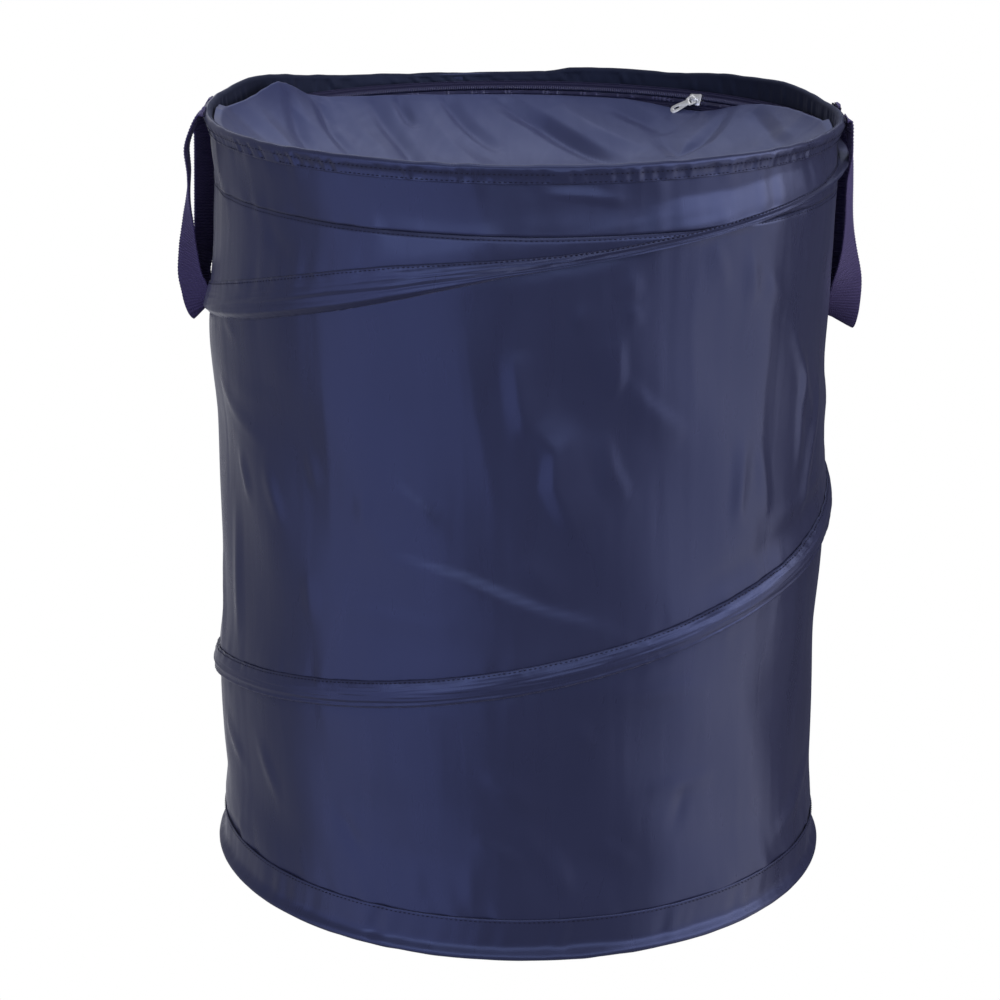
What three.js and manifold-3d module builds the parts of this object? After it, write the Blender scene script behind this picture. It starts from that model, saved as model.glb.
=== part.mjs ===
// Pop up laundry hamper: a spring wire spiral sewn into a drawn-in fabric wall, between two
// ring wires, with a zipped cloth lid and two webbing loops. Millimetres, +Z up, front at -Y.
import * as THREE from 'three';
import { mergeVertices } from 'three/addons/utils/BufferGeometryUtils.js';
import Module from 'manifold-3d';

const wasm = await Module();
wasm.setup();

// Whole hamper
const OUTER_DIAMETER = 457;
const HEIGHT = 558;
const FABRIC = 0.8;
const WIRE_DIAMETER = 2.4;
const WIRE_EASE = 0.8;
const LAYER_GAP = 0.3;
const SEWN_GAP = 0.15;

// Casings that hold the wires
const RIM_CASING_HEIGHT = 13;
const BASE_CASING_HEIGHT = 30;
const BASE_CASING_INNER_HEIGHT = 12;
const CASING_NECK_HEIGHT = 6.5;
const SPIRAL_CASING_WIDTH = 20;

// Heights of the spiral wire at each quarter turn from the right, as shares of the hamper's height
const SPIRAL_HEIGHT_SHARES = [0.014, 0.118, 0.247, 0.358, 0.493, 0.64, 0.742, 0.878, 0.952, 0.977];
const QUARTERS_PER_TURN = 4;

// Wall panels: the cloth is drawn in between the turns and gathers into shallow upright folds
const YOKE_HEIGHT = 47;
const WALL_DRAW_IN = 3;
const WALL_FOLD_DEPTH = 1.2;
const WALL_FOLD_COUNT = 11;
const WALL_FOLD_LEAN = 1.7;
const HELD_EDGE_EASE = 45;
const SIDE_SEAM_WIDTH = 12;
const SIDE_SEAM_FACET = 15;
const SIDE_SEAM_GAP = 0.9;

// Crimped sleeve that closes each ring wire
const FERRULE_WALL = 0.25;
const BASE_FERRULE_FACET = 6;
const TOP_FERRULE_FACET = 22;

// Zip around the rear half of the lid
const ZIP_SLOPE = THREE.MathUtils.degToRad(22);
const ZIP_CENTRE_DROP = 19.5;
const ZIP_TAPE_WIDTH = 6.4;
const ZIP_TAPE_THICKNESS = 0.6;
const ZIP_COIL_WIDTH = 2.4;
const ZIP_COIL_HEIGHT = 1.6;
const ZIP_COIL_GAP = 1.4;
const ZIP_TAPE_GAP = 2.2;
const ZIP_SEAT_GAP = 0.6;
const ZIP_FIRST_AZIMUTH = THREE.MathUtils.degToRad(7);
const ZIP_LAST_AZIMUTH = THREE.MathUtils.degToRad(175);
const ZIP_STEPS = 28;
const ZIP_STOP_LENGTH = 3;
const ZIP_STOP_HEIGHT = 2.2;
const ZIP_STOP_CORNER = 0.6;
const ZIP_TAPE_OVERRUN = 9;
const ZIP_LID_INSET = 10;

// Zip slider and its pull
const SLIDER_AZIMUTH = THREE.MathUtils.degToRad(52);
const SLIDER_LENGTH = 11;
const SLIDER_MOUTH_WIDTH = 9.4;
const SLIDER_TAIL_WIDTH = 8.2;
const SLIDER_CORNER = 1.6;
const SLIDER_PLATE = 1.1;
const SLIDER_RUNNING_GAP = 0.45;
const SLIDER_NOSE_LENGTH = 4.2;
const SLIDER_NOSE_INSET = 0.5;
const CROWN_LENGTH = 5.4;
const CROWN_WIDTH = 1.6;
const CROWN_LEG = 1;
const CROWN_ROUND = 0.7;
const PULL_THICKNESS = 1;
const PULL_LENGTH = 21;
const PULL_EYE_WIDTH = 7.4;
const PULL_EYE_LENGTH = 4.7;
const PULL_RAIL = 1;
const PULL_NECK_WIDTH = 4.6;
const PULL_TAB_WIDTH = 6.2;
const PULL_SLOT_LENGTH = 4.4;
const PULL_SLOT_WIDTH = 1.6;
const PULL_SLOT_INSET = 3;
const PULL_DIRECTION = THREE.MathUtils.degToRad(40);
const PULL_REST_LIFT = THREE.MathUtils.degToRad(14);

// Lid
const LID_SAG = 34;
const LID_FOLD_DEPTH = 2.5;
const LID_FOLD_LENGTH = 95;
const LID_FOLD_HEADING = THREE.MathUtils.degToRad(-62);
const LID_FRONT_INSET = 1;
const LID_EDGE_TURN = THREE.MathUtils.degToRad(26);
const LID_RINGS = 6;

// Webbing loops at the left and right of the rim
const WEBBING_WIDTH = 25;
const WEBBING_THICKNESS = 1.6;
const HANDLE_SPREAD = 60;
const HANDLE_STRAIGHT = 11;
const HANDLE_DROP = 150;
const HANDLE_TILT = THREE.MathUtils.degToRad(45);
const HANDLE_STANDOFF = 0.9;
const HANDLE_STEPS = 40;
const TACK_WIDTH = 1.1;
const TACK_INSET = 0.5;

// Facets
const FACETS = 60;
const WIRE_SIDES = 6;
const FACET_ANGLE = (2 * Math.PI) / FACETS;

// Sizes that follow
const WIRE_RADIUS = WIRE_DIAMETER / 2;
const TUNNEL_RADIUS = WIRE_RADIUS + WIRE_EASE;
const CASING_RADIUS = TUNNEL_RADIUS + FABRIC;
const RING_RADIUS = OUTER_DIAMETER / 2 - CASING_RADIUS;
const WALL_OUTER = RING_RADIUS - WIRE_RADIUS - LAYER_GAP;
const WALL_INNER = WALL_OUTER - FABRIC;
const CASING_INNER = WALL_INNER - LAYER_GAP - FABRIC;
const RIM_BOTTOM = HEIGHT - RIM_CASING_HEIGHT;
const YOKE_SEAM_HEIGHT = HEIGHT - YOKE_HEIGHT;
const ZIP_CENTRE_HEIGHT = HEIGHT - ZIP_CENTRE_DROP;
const ZIP_TAPE_REACH = ZIP_TAPE_GAP / 2 + ZIP_TAPE_WIDTH;
const ZIP_CENTRE_RADIUS = CASING_INNER - ZIP_SEAT_GAP - ZIP_TAPE_THICKNESS / 2
  - ZIP_TAPE_REACH * Math.sin(ZIP_SLOPE);
const COIL_LOW = ZIP_TAPE_THICKNESS / 2 + LAYER_GAP;
const COIL_HIGH = COIL_LOW + ZIP_COIL_HEIGHT;
const SLIDER_FLOOR = -ZIP_TAPE_THICKNESS / 2 - SLIDER_RUNNING_GAP;
const SLIDER_ROOF = COIL_HIGH + SLIDER_RUNNING_GAP;
const SLIDER_TOP = SLIDER_ROOF + SLIDER_PLATE;
const PULL_AXIS_HEIGHT = SLIDER_TOP + PULL_THICKNESS / Math.SQRT2 + LAYER_GAP;
const CROWN_HOLE_HEIGHT = PULL_THICKNESS * Math.SQRT2 + 2 * LAYER_GAP;
const HANDLE_RADIUS = OUTER_DIAMETER / 2 + HANDLE_STANDOFF + WEBBING_THICKNESS / 2;
const HANDLE_HALF_ANGLE = Math.asin(HANDLE_SPREAD / 2 / HANDLE_RADIUS);

const MATERIALS = {
  cloth: { color: 0x2c3553, roughness: 0.45, metalness: 0 },
  casing: { color: 0x262e49, roughness: 0.5, metalness: 0 },
  lid: { color: 0x3a4568, roughness: 0.45, metalness: 0 },
  wire: { color: 0x9aa0a6, roughness: 0.35, metalness: 0.9 },
  tape: { color: 0x232a42, roughness: 0.7, metalness: 0 },
  coil: { color: 0x6d7590, roughness: 0.4, metalness: 0 },
  slider: { color: 0xc4c7cb, roughness: 0.25, metalness: 0.95 },
  webbing: { color: 0x2b2447, roughness: 0.7, metalness: 0 },
  thread: { color: 0x1d2338, roughness: 0.7, metalness: 0 },
};

const hamper = new THREE.Group();

function addPiece(name, geometry, materialName) {
  const mesh = new THREE.Mesh(geometry, new THREE.MeshStandardMaterial(MATERIALS[materialName]));
  mesh.name = name;
  hamper.add(mesh);
  return mesh;
}

function polar(radius, azimuth, z) {
  return new THREE.Vector3(radius * Math.cos(azimuth), radius * Math.sin(azimuth), z);
}

// Closed solid from points and triangles: points that meet become one, empty triangles go,
// and the faces are turned outwards.
function solidFrom(points, triangles) {
  const geometry = new THREE.BufferGeometry();
  const numbers = points.flatMap((point) => [point.x, point.y, point.z]);
  geometry.setAttribute('position', new THREE.Float32BufferAttribute(numbers, 3));
  geometry.setIndex(triangles.flat());
  return facingOut(mergeVertices(geometry, 1e-5));
}

function facingOut(geometry) {
  const place = geometry.getAttribute('position');
  const corner = (index) => new THREE.Vector3().fromBufferAttribute(place, index);
  const faces = [];
  let volume = 0;
  for (let start = 0; start < geometry.index.count; start += 3) {
    const [a, b, c] = [0, 1, 2].map((step) => geometry.index.getX(start + step));
    if (a !== b && b !== c && c !== a) {
      faces.push([a, b, c]);
      volume += corner(a).dot(corner(b).cross(corner(c)));
    }
  }
  geometry.setIndex(faces.flatMap(([a, b, c]) => (volume < 0 ? [a, c, b] : [a, b, c])));
  return geometry;
}

function quad(a, b, c, d) {
  return [[a, b, c], [a, c, d]];
}

// Triangles of a section's end face, each in the turning sense of the section's own outline
function capTriangles(section) {
  const outline = section.map(([u, v]) => new THREE.Vector2(u, v));
  const sense = Math.sign(THREE.ShapeUtils.area(outline));
  return THREE.ShapeUtils.triangulateShape(outline, []).map(([a, b, c]) => {
    const own = Math.sign(THREE.ShapeUtils.area([outline[a], outline[b], outline[c]]));
    return own === sense ? [a, b, c] : [a, c, b];
  });
}

// Sweeps a closed section through a row of steps: sections[step] is its outline in (u, v), and
// place(step, u, v) gives each point in space.
function sweptSolid(sections, place) {
  const count = sections[0].length;
  const points = sections.flatMap((section, step) => section.map(([u, v]) => place(step, u, v)));
  const last = (sections.length - 1) * count;
  const triangles = [];
  for (let here = 0; here < last; here += count) {
    for (let side = 0; side < count; side += 1) {
      const after = (side + 1) % count;
      triangles.push(...quad(here + side, here + after, here + count + after, here + count + side));
    }
  }
  triangles.push(...capTriangles(sections[0]).map(([a, b, c]) => [c, b, a]));
  triangles.push(...capTriangles(sections.at(-1)).map((face) => face.map((index) => last + index)));
  return solidFrom(points, triangles);
}

// Joins an outer and an inner grid of points, of rows along and places across, into one sheet
function sheetSolid(outer, inner) {
  const across = outer[0].length;
  const points = [...outer.flat(), ...inner.flat()];
  const offset = outer.length * across;
  const triangles = [];
  for (let row = 0; row + 1 < outer.length; row += 1) {
    const here = row * across;
    const next = here + across;
    for (let place = 0; place + 1 < across; place += 1) {
      triangles.push(...quad(here + place, next + place, next + place + 1, here + place + 1));
      triangles.push(...quad(offset + here + place, offset + here + place + 1,
        offset + next + place + 1, offset + next + place));
    }
    const end = across - 1;
    triangles.push(...quad(next, here, offset + here, offset + next));
    triangles.push(...quad(here + end, next + end, offset + next + end, offset + here + end));
  }
  for (let place = 0; place + 1 < across; place += 1) {
    const end = offset - across + place;
    triangles.push(...quad(place, place + 1, offset + place + 1, offset + place));
    triangles.push(...quad(end + 1, end, offset + end, offset + end + 1));
  }
  return sheetOpenOrRound(points, triangles, outer);
}

// A sheet that goes all the way round meets itself, so its two end faces fall together and go
function sheetOpenOrRound(points, triangles, outer) {
  const endFaces = 4 * (outer[0].length - 1);
  const isRound = outer[0].at(-1).distanceTo(outer.at(-1).at(-1)) < LAYER_GAP / 2;
  return solidFrom(points, isRound ? triangles.slice(0, -endFaces) : triangles);
}

function circleSection(radius, sides) {
  return Array.from({ length: sides }, (_, side) => {
    const angle = (2 * Math.PI * side) / sides;
    return [radius * Math.cos(angle), radius * Math.sin(angle)];
  });
}

function revolvedSolid(outline) {
  const profile = [...outline, outline[0]].map(([radius, z]) => new THREE.Vector2(radius, z));
  const geometry = new THREE.LatheGeometry(profile, FACETS).rotateX(Math.PI / 2);
  geometry.deleteAttribute('normal');
  geometry.deleteAttribute('uv');
  return facingOut(mergeVertices(geometry, 1e-5));
}

// Height of the spiral wire after a number of turns from the right-hand side
function spiralHeight(turn) {
  const shares = SPIRAL_HEIGHT_SHARES;
  const last = shares.length - 1;
  const quarter = turn * QUARTERS_PER_TURN;
  const meanStep = (shares[last] - shares[0]) / last;
  if (quarter <= 0) return HEIGHT * (shares[0] + meanStep * quarter);
  if (quarter >= last) return HEIGHT * (shares[last] + meanStep * (quarter - last));
  const index = Math.floor(quarter);
  const before = shares[Math.max(index - 1, 0)];
  const after = shares[Math.min(index + 2, last)];
  const t = quarter - index;
  return HEIGHT * catmullRom(t, before, shares[index], shares[index + 1], after);
}

function catmullRom(t, p0, p1, p2, p3) {
  const start = (p2 - p0) / 2;
  const end = (p3 - p1) / 2;
  return p1 + start * t + (3 * (p2 - p1) - 2 * start - end) * t ** 2
    + (2 * (p1 - p2) + start + end) * t ** 3;
}

// The turn at which the spiral passes a height
function turnAtHeight(z) {
  let low = -1;
  let high = SPIRAL_HEIGHT_SHARES.length;
  for (let step = 0; step < 40; step += 1) {
    const middle = (low + high) / 2;
    if (spiralHeight(middle) < z) low = middle;
    else high = middle;
  }
  return (low + high) / 2;
}

// How freely the cloth hangs at a height: none inside the rim and base casings
function clothFreedom(z) {
  const aboveBase = THREE.MathUtils.smoothstep(z, BASE_CASING_HEIGHT, BASE_CASING_HEIGHT + HELD_EDGE_EASE);
  const belowRim = THREE.MathUtils.smoothstep(RIM_BOTTOM - z, 0, HELD_EDGE_EASE);
  return aboveBase * belowRim;
}

// Radius of the wall's outer face: on the wire the cloth is full width, between turns it is drawn in
function wallRadius(azimuthTurn, turn) {
  const betweenTurns = Math.sin(Math.PI * (turn - azimuthTurn)) ** 2;
  const wave = Math.cos(2 * Math.PI * (WALL_FOLD_COUNT * azimuthTurn + WALL_FOLD_LEAN * turn));
  const drawn = WALL_DRAW_IN + WALL_FOLD_DEPTH * wave;
  return WALL_OUTER - betweenTurns * drawn * clothFreedom(spiralHeight(turn));
}

// Band of the wall between two heights. Its rows climb with the spiral, so one row is the wire's,
// and inside the base and rim casings it stands straight.
function wallBand(lowHeight, highHeight) {
  const ends = [turnAtHeight(lowHeight), turnAtHeight(highHeight)];
  const firstFree = Math.max(ends[0], turnAtHeight(BASE_CASING_HEIGHT));
  const lastFree = Math.min(ends[1], turnAtHeight(RIM_BOTTOM));
  const firstRow = Math.floor((firstFree - 1) * QUARTERS_PER_TURN);
  const lastRow = Math.ceil(lastFree * QUARTERS_PER_TURN);
  const outer = [];
  const inner = [];
  for (let facet = 0; facet <= FACETS; facet += 1) {
    const azimuthTurn = facet / FACETS;
    const turns = [ends[0]];
    for (let row = firstRow; row <= lastRow; row += 1) {
      turns.push(THREE.MathUtils.clamp(row / QUARTERS_PER_TURN + azimuthTurn, firstFree, lastFree));
    }
    turns.push(ends[1]);
    outer.push(turns.map((turn) => wallPoint(azimuthTurn, turn, 0)));
    inner.push(turns.map((turn) => wallPoint(azimuthTurn, turn, FABRIC)));
  }
  return sheetSolid(outer, inner);
}

function wallPoint(azimuthTurn, turn, depth) {
  return polar(wallRadius(azimuthTurn, turn) - depth, 2 * Math.PI * azimuthTurn, spiralHeight(turn));
}

// Radius of the wall's faceted outer face above the wire, in the upright plane of one spiral step
function wallRadiusAbove(turn, z) {
  let low = turn;
  let high = turn + 1 / QUARTERS_PER_TURN;
  while (spiralHeight(high) < z) {
    low = high;
    high += 1 / QUARTERS_PER_TURN;
  }
  const share = THREE.MathUtils.inverseLerp(spiralHeight(low), spiralHeight(high), z);
  return THREE.MathUtils.lerp(wallRadius(turn, low), wallRadius(turn, high), share);
}

// Whole facet steps at which the spiral is clear of the base casing and of the rim casing
function spiralSteps() {
  const clear = CASING_RADIUS + LAYER_GAP;
  const first = Math.ceil(turnAtHeight(BASE_CASING_HEIGHT + clear) * FACETS);
  const last = Math.floor(turnAtHeight(RIM_BOTTOM - clear) * FACETS);
  return Array.from({ length: last - first + 1 }, (_, index) => first + index);
}

function spiralWire() {
  const steps = spiralSteps();
  const sections = steps.map(() => circleSection(WIRE_RADIUS, WIRE_SIDES - 1));
  return sweptSolid(sections, (index, u, v) => {
    const turn = steps[index] / FACETS;
    return polar(RING_RADIUS + u, 2 * Math.PI * turn, spiralHeight(turn) + v);
  });
}

// Section of the spiral's cloth tunnel: an arch over the wire that is sewn flat to the wall above it
function spiralCasingSection(turn) {
  const z = spiralHeight(turn);
  const top = Math.min(z + SPIRAL_CASING_WIDTH - CASING_RADIUS, RIM_BOTTOM - LAYER_GAP);
  const seat = WALL_OUTER + LAYER_GAP;
  const topSeat = wallRadiusAbove(turn, top) + 2 * LAYER_GAP;
  const arch = RING_RADIUS + TUNNEL_RADIUS;
  return [
    [seat, z - CASING_RADIUS],
    [arch + FABRIC, z - CASING_RADIUS / 2],
    [arch + FABRIC, z + CASING_RADIUS / 2],
    [topSeat + FABRIC, top],
    [topSeat, top],
    [arch, z + TUNNEL_RADIUS / 2],
    [arch, z - TUNNEL_RADIUS / 2],
    [seat, z - TUNNEL_RADIUS],
  ];
}

function spiralCasing() {
  const steps = spiralSteps();
  const sections = steps.map((step) => spiralCasingSection(step / FACETS));
  return sweptSolid(sections, (index, radius, z) => polar(radius, steps[index] * FACET_ANGLE, z));
}

// Hem section around a ring wire: `up` is 1 where the legs stand on the wire and -1 where they hang
function hemSection(wireHeight, up, outerLeg, innerLeg) {
  const neck = wireHeight + up * (CASING_NECK_HEIGHT - CASING_RADIUS);
  const flat = CASING_RADIUS / 2;
  const far = wireHeight - up * CASING_RADIUS;
  const tunnelEnd = wireHeight - up * TUNNEL_RADIUS;
  return [
    [WALL_OUTER + LAYER_GAP + FABRIC, outerLeg],
    [WALL_OUTER + LAYER_GAP + FABRIC, neck + up * FABRIC],
    [RING_RADIUS + CASING_RADIUS, wireHeight],
    [RING_RADIUS + flat, far],
    [RING_RADIUS - flat, far],
    [RING_RADIUS - CASING_RADIUS, wireHeight],
    [CASING_INNER, neck],
    [CASING_INNER, innerLeg],
    [CASING_INNER + FABRIC, innerLeg],
    [CASING_INNER + FABRIC, neck],
    [RING_RADIUS - TUNNEL_RADIUS, wireHeight],
    [RING_RADIUS - TUNNEL_RADIUS / 2, tunnelEnd],
    [RING_RADIUS + TUNNEL_RADIUS / 2, tunnelEnd],
    [RING_RADIUS + TUNNEL_RADIUS, wireHeight],
    [WALL_OUTER + LAYER_GAP, neck],
    [WALL_OUTER + LAYER_GAP, outerLeg],
  ];
}

function addRingWire(name, ferruleName, height, ferruleFacet) {
  const edge = LAYER_GAP / RING_RADIUS;
  const start = (ferruleFacet + 1) * FACET_ANGLE + edge;
  const end = (ferruleFacet + FACETS) * FACET_ANGLE - edge;
  const azimuths = [start];
  for (let facet = ferruleFacet + 2; facet < ferruleFacet + FACETS; facet += 1) {
    azimuths.push(facet * FACET_ANGLE);
  }
  azimuths.push(end);
  const along = (list) => (index, u, v) => polar(RING_RADIUS + u, list[index], height + v);
  const wire = azimuths.map(() => circleSection(WIRE_RADIUS, WIRE_SIDES));
  addPiece(name, sweptSolid(wire, along(azimuths)), 'wire');
  const ends = [ferruleFacet * FACET_ANGLE, (ferruleFacet + 1) * FACET_ANGLE];
  const sleeve = ends.map(() => circleSection(WIRE_RADIUS + FERRULE_WALL, WIRE_SIDES));
  addPiece(ferruleName, sweptSolid(sleeve, along(ends)), 'wire');
}

function addBase() {
  const wireHeight = CASING_RADIUS;
  const panelRadius = RING_RADIUS - CASING_RADIUS;
  const panel = new THREE.CylinderGeometry(panelRadius, panelRadius, FABRIC, FACETS);
  addPiece('base_panel', panel.rotateX(Math.PI / 2).translate(0, 0, FABRIC / 2), 'cloth');
  const hem = hemSection(wireHeight, 1, BASE_CASING_HEIGHT, BASE_CASING_INNER_HEIGHT);
  addPiece('base_casing', revolvedSolid(hem), 'casing');
  addRingWire('base_ring_wire', 'base_ring_ferrule', wireHeight, BASE_FERRULE_FACET);
}

function addWall() {
  addPiece('side_wall', wallBand(CASING_NECK_HEIGHT, YOKE_SEAM_HEIGHT - SEWN_GAP), 'cloth');
  addPiece('yoke_band', wallBand(YOKE_SEAM_HEIGHT + SEWN_GAP, HEIGHT - CASING_NECK_HEIGHT), 'cloth');
  addPiece('spiral_wire', spiralWire(), 'wire');
  addPiece('spiral_casing', spiralCasing(), 'casing');
  addPiece('side_seam_binding', sideSeamBinding(), 'tape');
}

// Upright binding over the wall's own seam, inside at the rear, flat against one facet of the wall
function sideSeamBinding() {
  const azimuths = [SIDE_SEAM_FACET, SIDE_SEAM_FACET + 1].map((facet) => facet * FACET_ANGLE);
  const middle = (azimuths[0] + azimuths[1]) / 2;
  const radiusAt = (turn) => Math.min(...azimuths.map((azimuth) => wallRadius(azimuth / 2 / Math.PI, turn)));
  const lowTurn = turnAtHeight(BASE_CASING_INNER_HEIGHT + LAYER_GAP);
  const highTurn = turnAtHeight(RIM_BOTTOM - LAYER_GAP);
  const count = FACETS / 2;
  const outer = [];
  const inner = [];
  for (let step = 0; step <= count; step += 1) {
    const turn = THREE.MathUtils.lerp(lowTurn, highTurn, step / count);
    const reach = radiusAt(turn) * Math.cos(FACET_ANGLE / 2) - FABRIC - SIDE_SEAM_GAP;
    const row = (depth) => [-1, 1].map((side) => new THREE.Vector3(
      depth * Math.cos(middle) - side * (SIDE_SEAM_WIDTH / 2) * Math.sin(middle),
      depth * Math.sin(middle) + side * (SIDE_SEAM_WIDTH / 2) * Math.cos(middle),
      spiralHeight(turn),
    ));
    outer.push(row(reach));
    inner.push(row(reach - FABRIC));
  }
  return sheetSolid(outer, inner);
}

function addRim() {
  const wireHeight = HEIGHT - CASING_RADIUS;
  addPiece('rim_casing', revolvedSolid(hemSection(wireHeight, -1, RIM_BOTTOM, RIM_BOTTOM)), 'casing');
  addRingWire('top_ring_wire', 'top_ring_ferrule', wireHeight, TOP_FERRULE_FACET);
}

// Frame of the zip at an azimuth: x along the zip, y down its slope, z out of its face
function zipFrame(azimuth) {
  const along = new THREE.Vector3(-Math.sin(azimuth), Math.cos(azimuth), 0);
  const down = polar(-Math.sin(ZIP_SLOPE), azimuth, -Math.cos(ZIP_SLOPE));
  const face = new THREE.Vector3().crossVectors(along, down);
  const centre = polar(ZIP_CENTRE_RADIUS, azimuth, ZIP_CENTRE_HEIGHT);
  return new THREE.Matrix4().makeBasis(along, down, face).setPosition(centre);
}

function rectangleSection(low, high, floor, roof) {
  return [[low, floor], [high, floor], [high, roof], [low, roof]];
}

// Azimuths along the zip: a strip ends beyond the rim's teeth by its overrun, or short of them if it
// is below zero
function zipAzimuths(overrun) {
  const first = ZIP_FIRST_AZIMUTH - overrun / ZIP_CENTRE_RADIUS;
  const last = ZIP_LAST_AZIMUTH + overrun / ZIP_CENTRE_RADIUS;
  const steps = Array.from({ length: ZIP_STEPS + 1 }, (_, step) => {
    const azimuth = THREE.MathUtils.lerp(ZIP_FIRST_AZIMUTH, ZIP_LAST_AZIMUTH, step / ZIP_STEPS);
    return THREE.MathUtils.clamp(azimuth, first, last);
  });
  return overrun > 0 ? [first, ...steps, last] : steps;
}

function zipStrip(section, overrun) {
  const azimuths = zipAzimuths(overrun);
  return sweptSolid(azimuths.map(() => section), (index, down, out) => (
    new THREE.Vector3(0, down, out).applyMatrix4(zipFrame(azimuths[index]))
  ));
}

function addZipTapesAndCoils() {
  const tapeIn = ZIP_TAPE_GAP / 2;
  const coilIn = ZIP_COIL_GAP / 2;
  const halfTape = ZIP_TAPE_THICKNESS / 2;
  const coilOut = coilIn + ZIP_COIL_WIDTH;
  const sides = [['rim', -1, ZIP_TAPE_OVERRUN, 0], ['lid', 1, -ZIP_LID_INSET, -ZIP_LID_INSET]];
  for (const [name, side, tapeOverrun, coilOverrun] of sides) {
    const tape = rectangleSection(side * tapeIn, side * ZIP_TAPE_REACH, -halfTape, halfTape);
    const coil = rectangleSection(side * coilIn, side * coilOut, COIL_LOW, COIL_HIGH);
    addPiece(`zip_tape_${name}`, zipStrip(tape, tapeOverrun), 'tape');
    addPiece(`zip_coil_${name}`, zipStrip(coil, coilOverrun), 'coil');
  }
}

function roundedRectangle(length, width, corner) {
  const x = length / 2;
  const y = width / 2;
  const shape = new THREE.Shape();
  shape.absarc(x - corner, y - corner, corner, 0, Math.PI / 2);
  shape.absarc(corner - x, y - corner, corner, Math.PI / 2, Math.PI);
  shape.absarc(corner - x, corner - y, corner, Math.PI, 1.5 * Math.PI);
  shape.absarc(x - corner, corner - y, corner, 1.5 * Math.PI, 2 * Math.PI);
  return shape;
}

function extruded(shape, low, high) {
  const settings = { depth: high - low, bevelEnabled: false, curveSegments: 4, steps: 1 };
  return new THREE.ExtrudeGeometry(shape, settings).translate(0, 0, low);
}

// Stop clamped on the rim's tape, just beyond one end of the teeth
function addZipStop(name, azimuth) {
  const width = ZIP_COIL_GAP / 2 + ZIP_COIL_WIDTH;
  const outline = roundedRectangle(ZIP_STOP_LENGTH, width, ZIP_STOP_CORNER);
  const block = extruded(outline, COIL_LOW, COIL_LOW + ZIP_STOP_HEIGHT).translate(0, -width / 2, 0);
  addPiece(name, block, 'slider').applyMatrix4(zipFrame(azimuth));
}

function toManifold(geometry) {
  geometry.deleteAttribute('normal');
  geometry.deleteAttribute('uv');
  const merged = mergeVertices(geometry, 1e-5);
  const vertProperties = new Float32Array(merged.getAttribute('position').array);
  const triVerts = new Uint32Array(merged.index.array);
  return new wasm.Manifold(new wasm.Mesh({ numProp: 3, vertProperties, triVerts }));
}

function fromManifold(solid) {
  const mesh = solid.getMesh();
  const geometry = new THREE.BufferGeometry();
  geometry.setAttribute('position', new THREE.BufferAttribute(mesh.vertProperties, mesh.numProp));
  geometry.setIndex(new THREE.BufferAttribute(mesh.triVerts, 1));
  return geometry;
}

// Plan of the slider's plates: wide rounded shoulders at the mouth, at -x, and a narrower tail
function sliderPlan() {
  const x = SLIDER_LENGTH / 2;
  const mouth = SLIDER_MOUTH_WIDTH / 2;
  const tail = SLIDER_TAIL_WIDTH / 2;
  const corner = SLIDER_CORNER;
  const shape = new THREE.Shape();
  shape.moveTo(x - corner, tail);
  shape.quadraticCurveTo(0, tail, corner - x, mouth);
  shape.quadraticCurveTo(-x, mouth, -x, mouth - corner);
  shape.lineTo(-x, corner - mouth);
  shape.quadraticCurveTo(-x, -mouth, corner - x, -mouth);
  shape.quadraticCurveTo(0, -tail, x - corner, -tail);
  shape.quadraticCurveTo(x, -tail, x, corner - tail);
  shape.lineTo(x, tail - corner);
  shape.quadraticCurveTo(x, tail, x - corner, tail);
  return shape;
}

// Wedge inside the mouth that parts the two coils, pointed towards the tail
function sliderNose() {
  const half = ZIP_COIL_GAP / 2 - LAYER_GAP;
  const front = SLIDER_NOSE_INSET - SLIDER_LENGTH / 2;
  const shape = new THREE.Shape();
  shape.moveTo(front, -half);
  shape.lineTo(front + SLIDER_NOSE_LENGTH - 2 * half, -half);
  shape.lineTo(front + SLIDER_NOSE_LENGTH, 0);
  shape.lineTo(front + SLIDER_NOSE_LENGTH - 2 * half, half);
  shape.lineTo(front, half);
  return extruded(shape, SLIDER_FLOOR - SLIDER_PLATE / 2, SLIDER_ROOF + SLIDER_PLATE / 2);
}

// Arch over the top plate that the pull hangs on
function sliderCrown() {
  const half = CROWN_LENGTH / 2;
  const top = SLIDER_TOP + CROWN_HOLE_HEIGHT + CROWN_LEG;
  const foot = SLIDER_TOP - SLIDER_PLATE / 2;
  const shape = new THREE.Shape();
  shape.moveTo(-half, foot);
  shape.lineTo(CROWN_LEG - half, foot);
  shape.lineTo(CROWN_LEG - half, top - CROWN_LEG);
  shape.lineTo(half - CROWN_LEG, top - CROWN_LEG);
  shape.lineTo(half - CROWN_LEG, foot);
  shape.lineTo(half, foot);
  shape.lineTo(half, top - CROWN_ROUND);
  shape.lineTo(half - CROWN_ROUND, top);
  shape.lineTo(CROWN_ROUND - half, top);
  shape.lineTo(-half, top - CROWN_ROUND);
  return extruded(shape, -CROWN_WIDTH / 2, CROWN_WIDTH / 2).rotateX(Math.PI / 2);
}

// Slider: a block with a channel for the coils, side slots for the tapes, a nose and a crown
function sliderBody() {
  const block = toManifold(extruded(sliderPlan(), SLIDER_FLOOR - SLIDER_PLATE, SLIDER_TOP));
  const coilReach = ZIP_COIL_GAP + 2 * (ZIP_COIL_WIDTH + SLIDER_RUNNING_GAP);
  const through = 2 * SLIDER_LENGTH;
  const channelHeight = SLIDER_ROOF - SLIDER_FLOOR;
  const channel = new THREE.BoxGeometry(through, coilReach, channelHeight);
  channel.translate(0, 0, (SLIDER_ROOF + SLIDER_FLOOR) / 2);
  const slot = new THREE.BoxGeometry(through, through, -2 * SLIDER_FLOOR);
  const open = block.subtract(toManifold(channel)).subtract(toManifold(slot));
  return fromManifold(open.add(toManifold(sliderNose())).add(toManifold(sliderCrown())));
}

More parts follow.
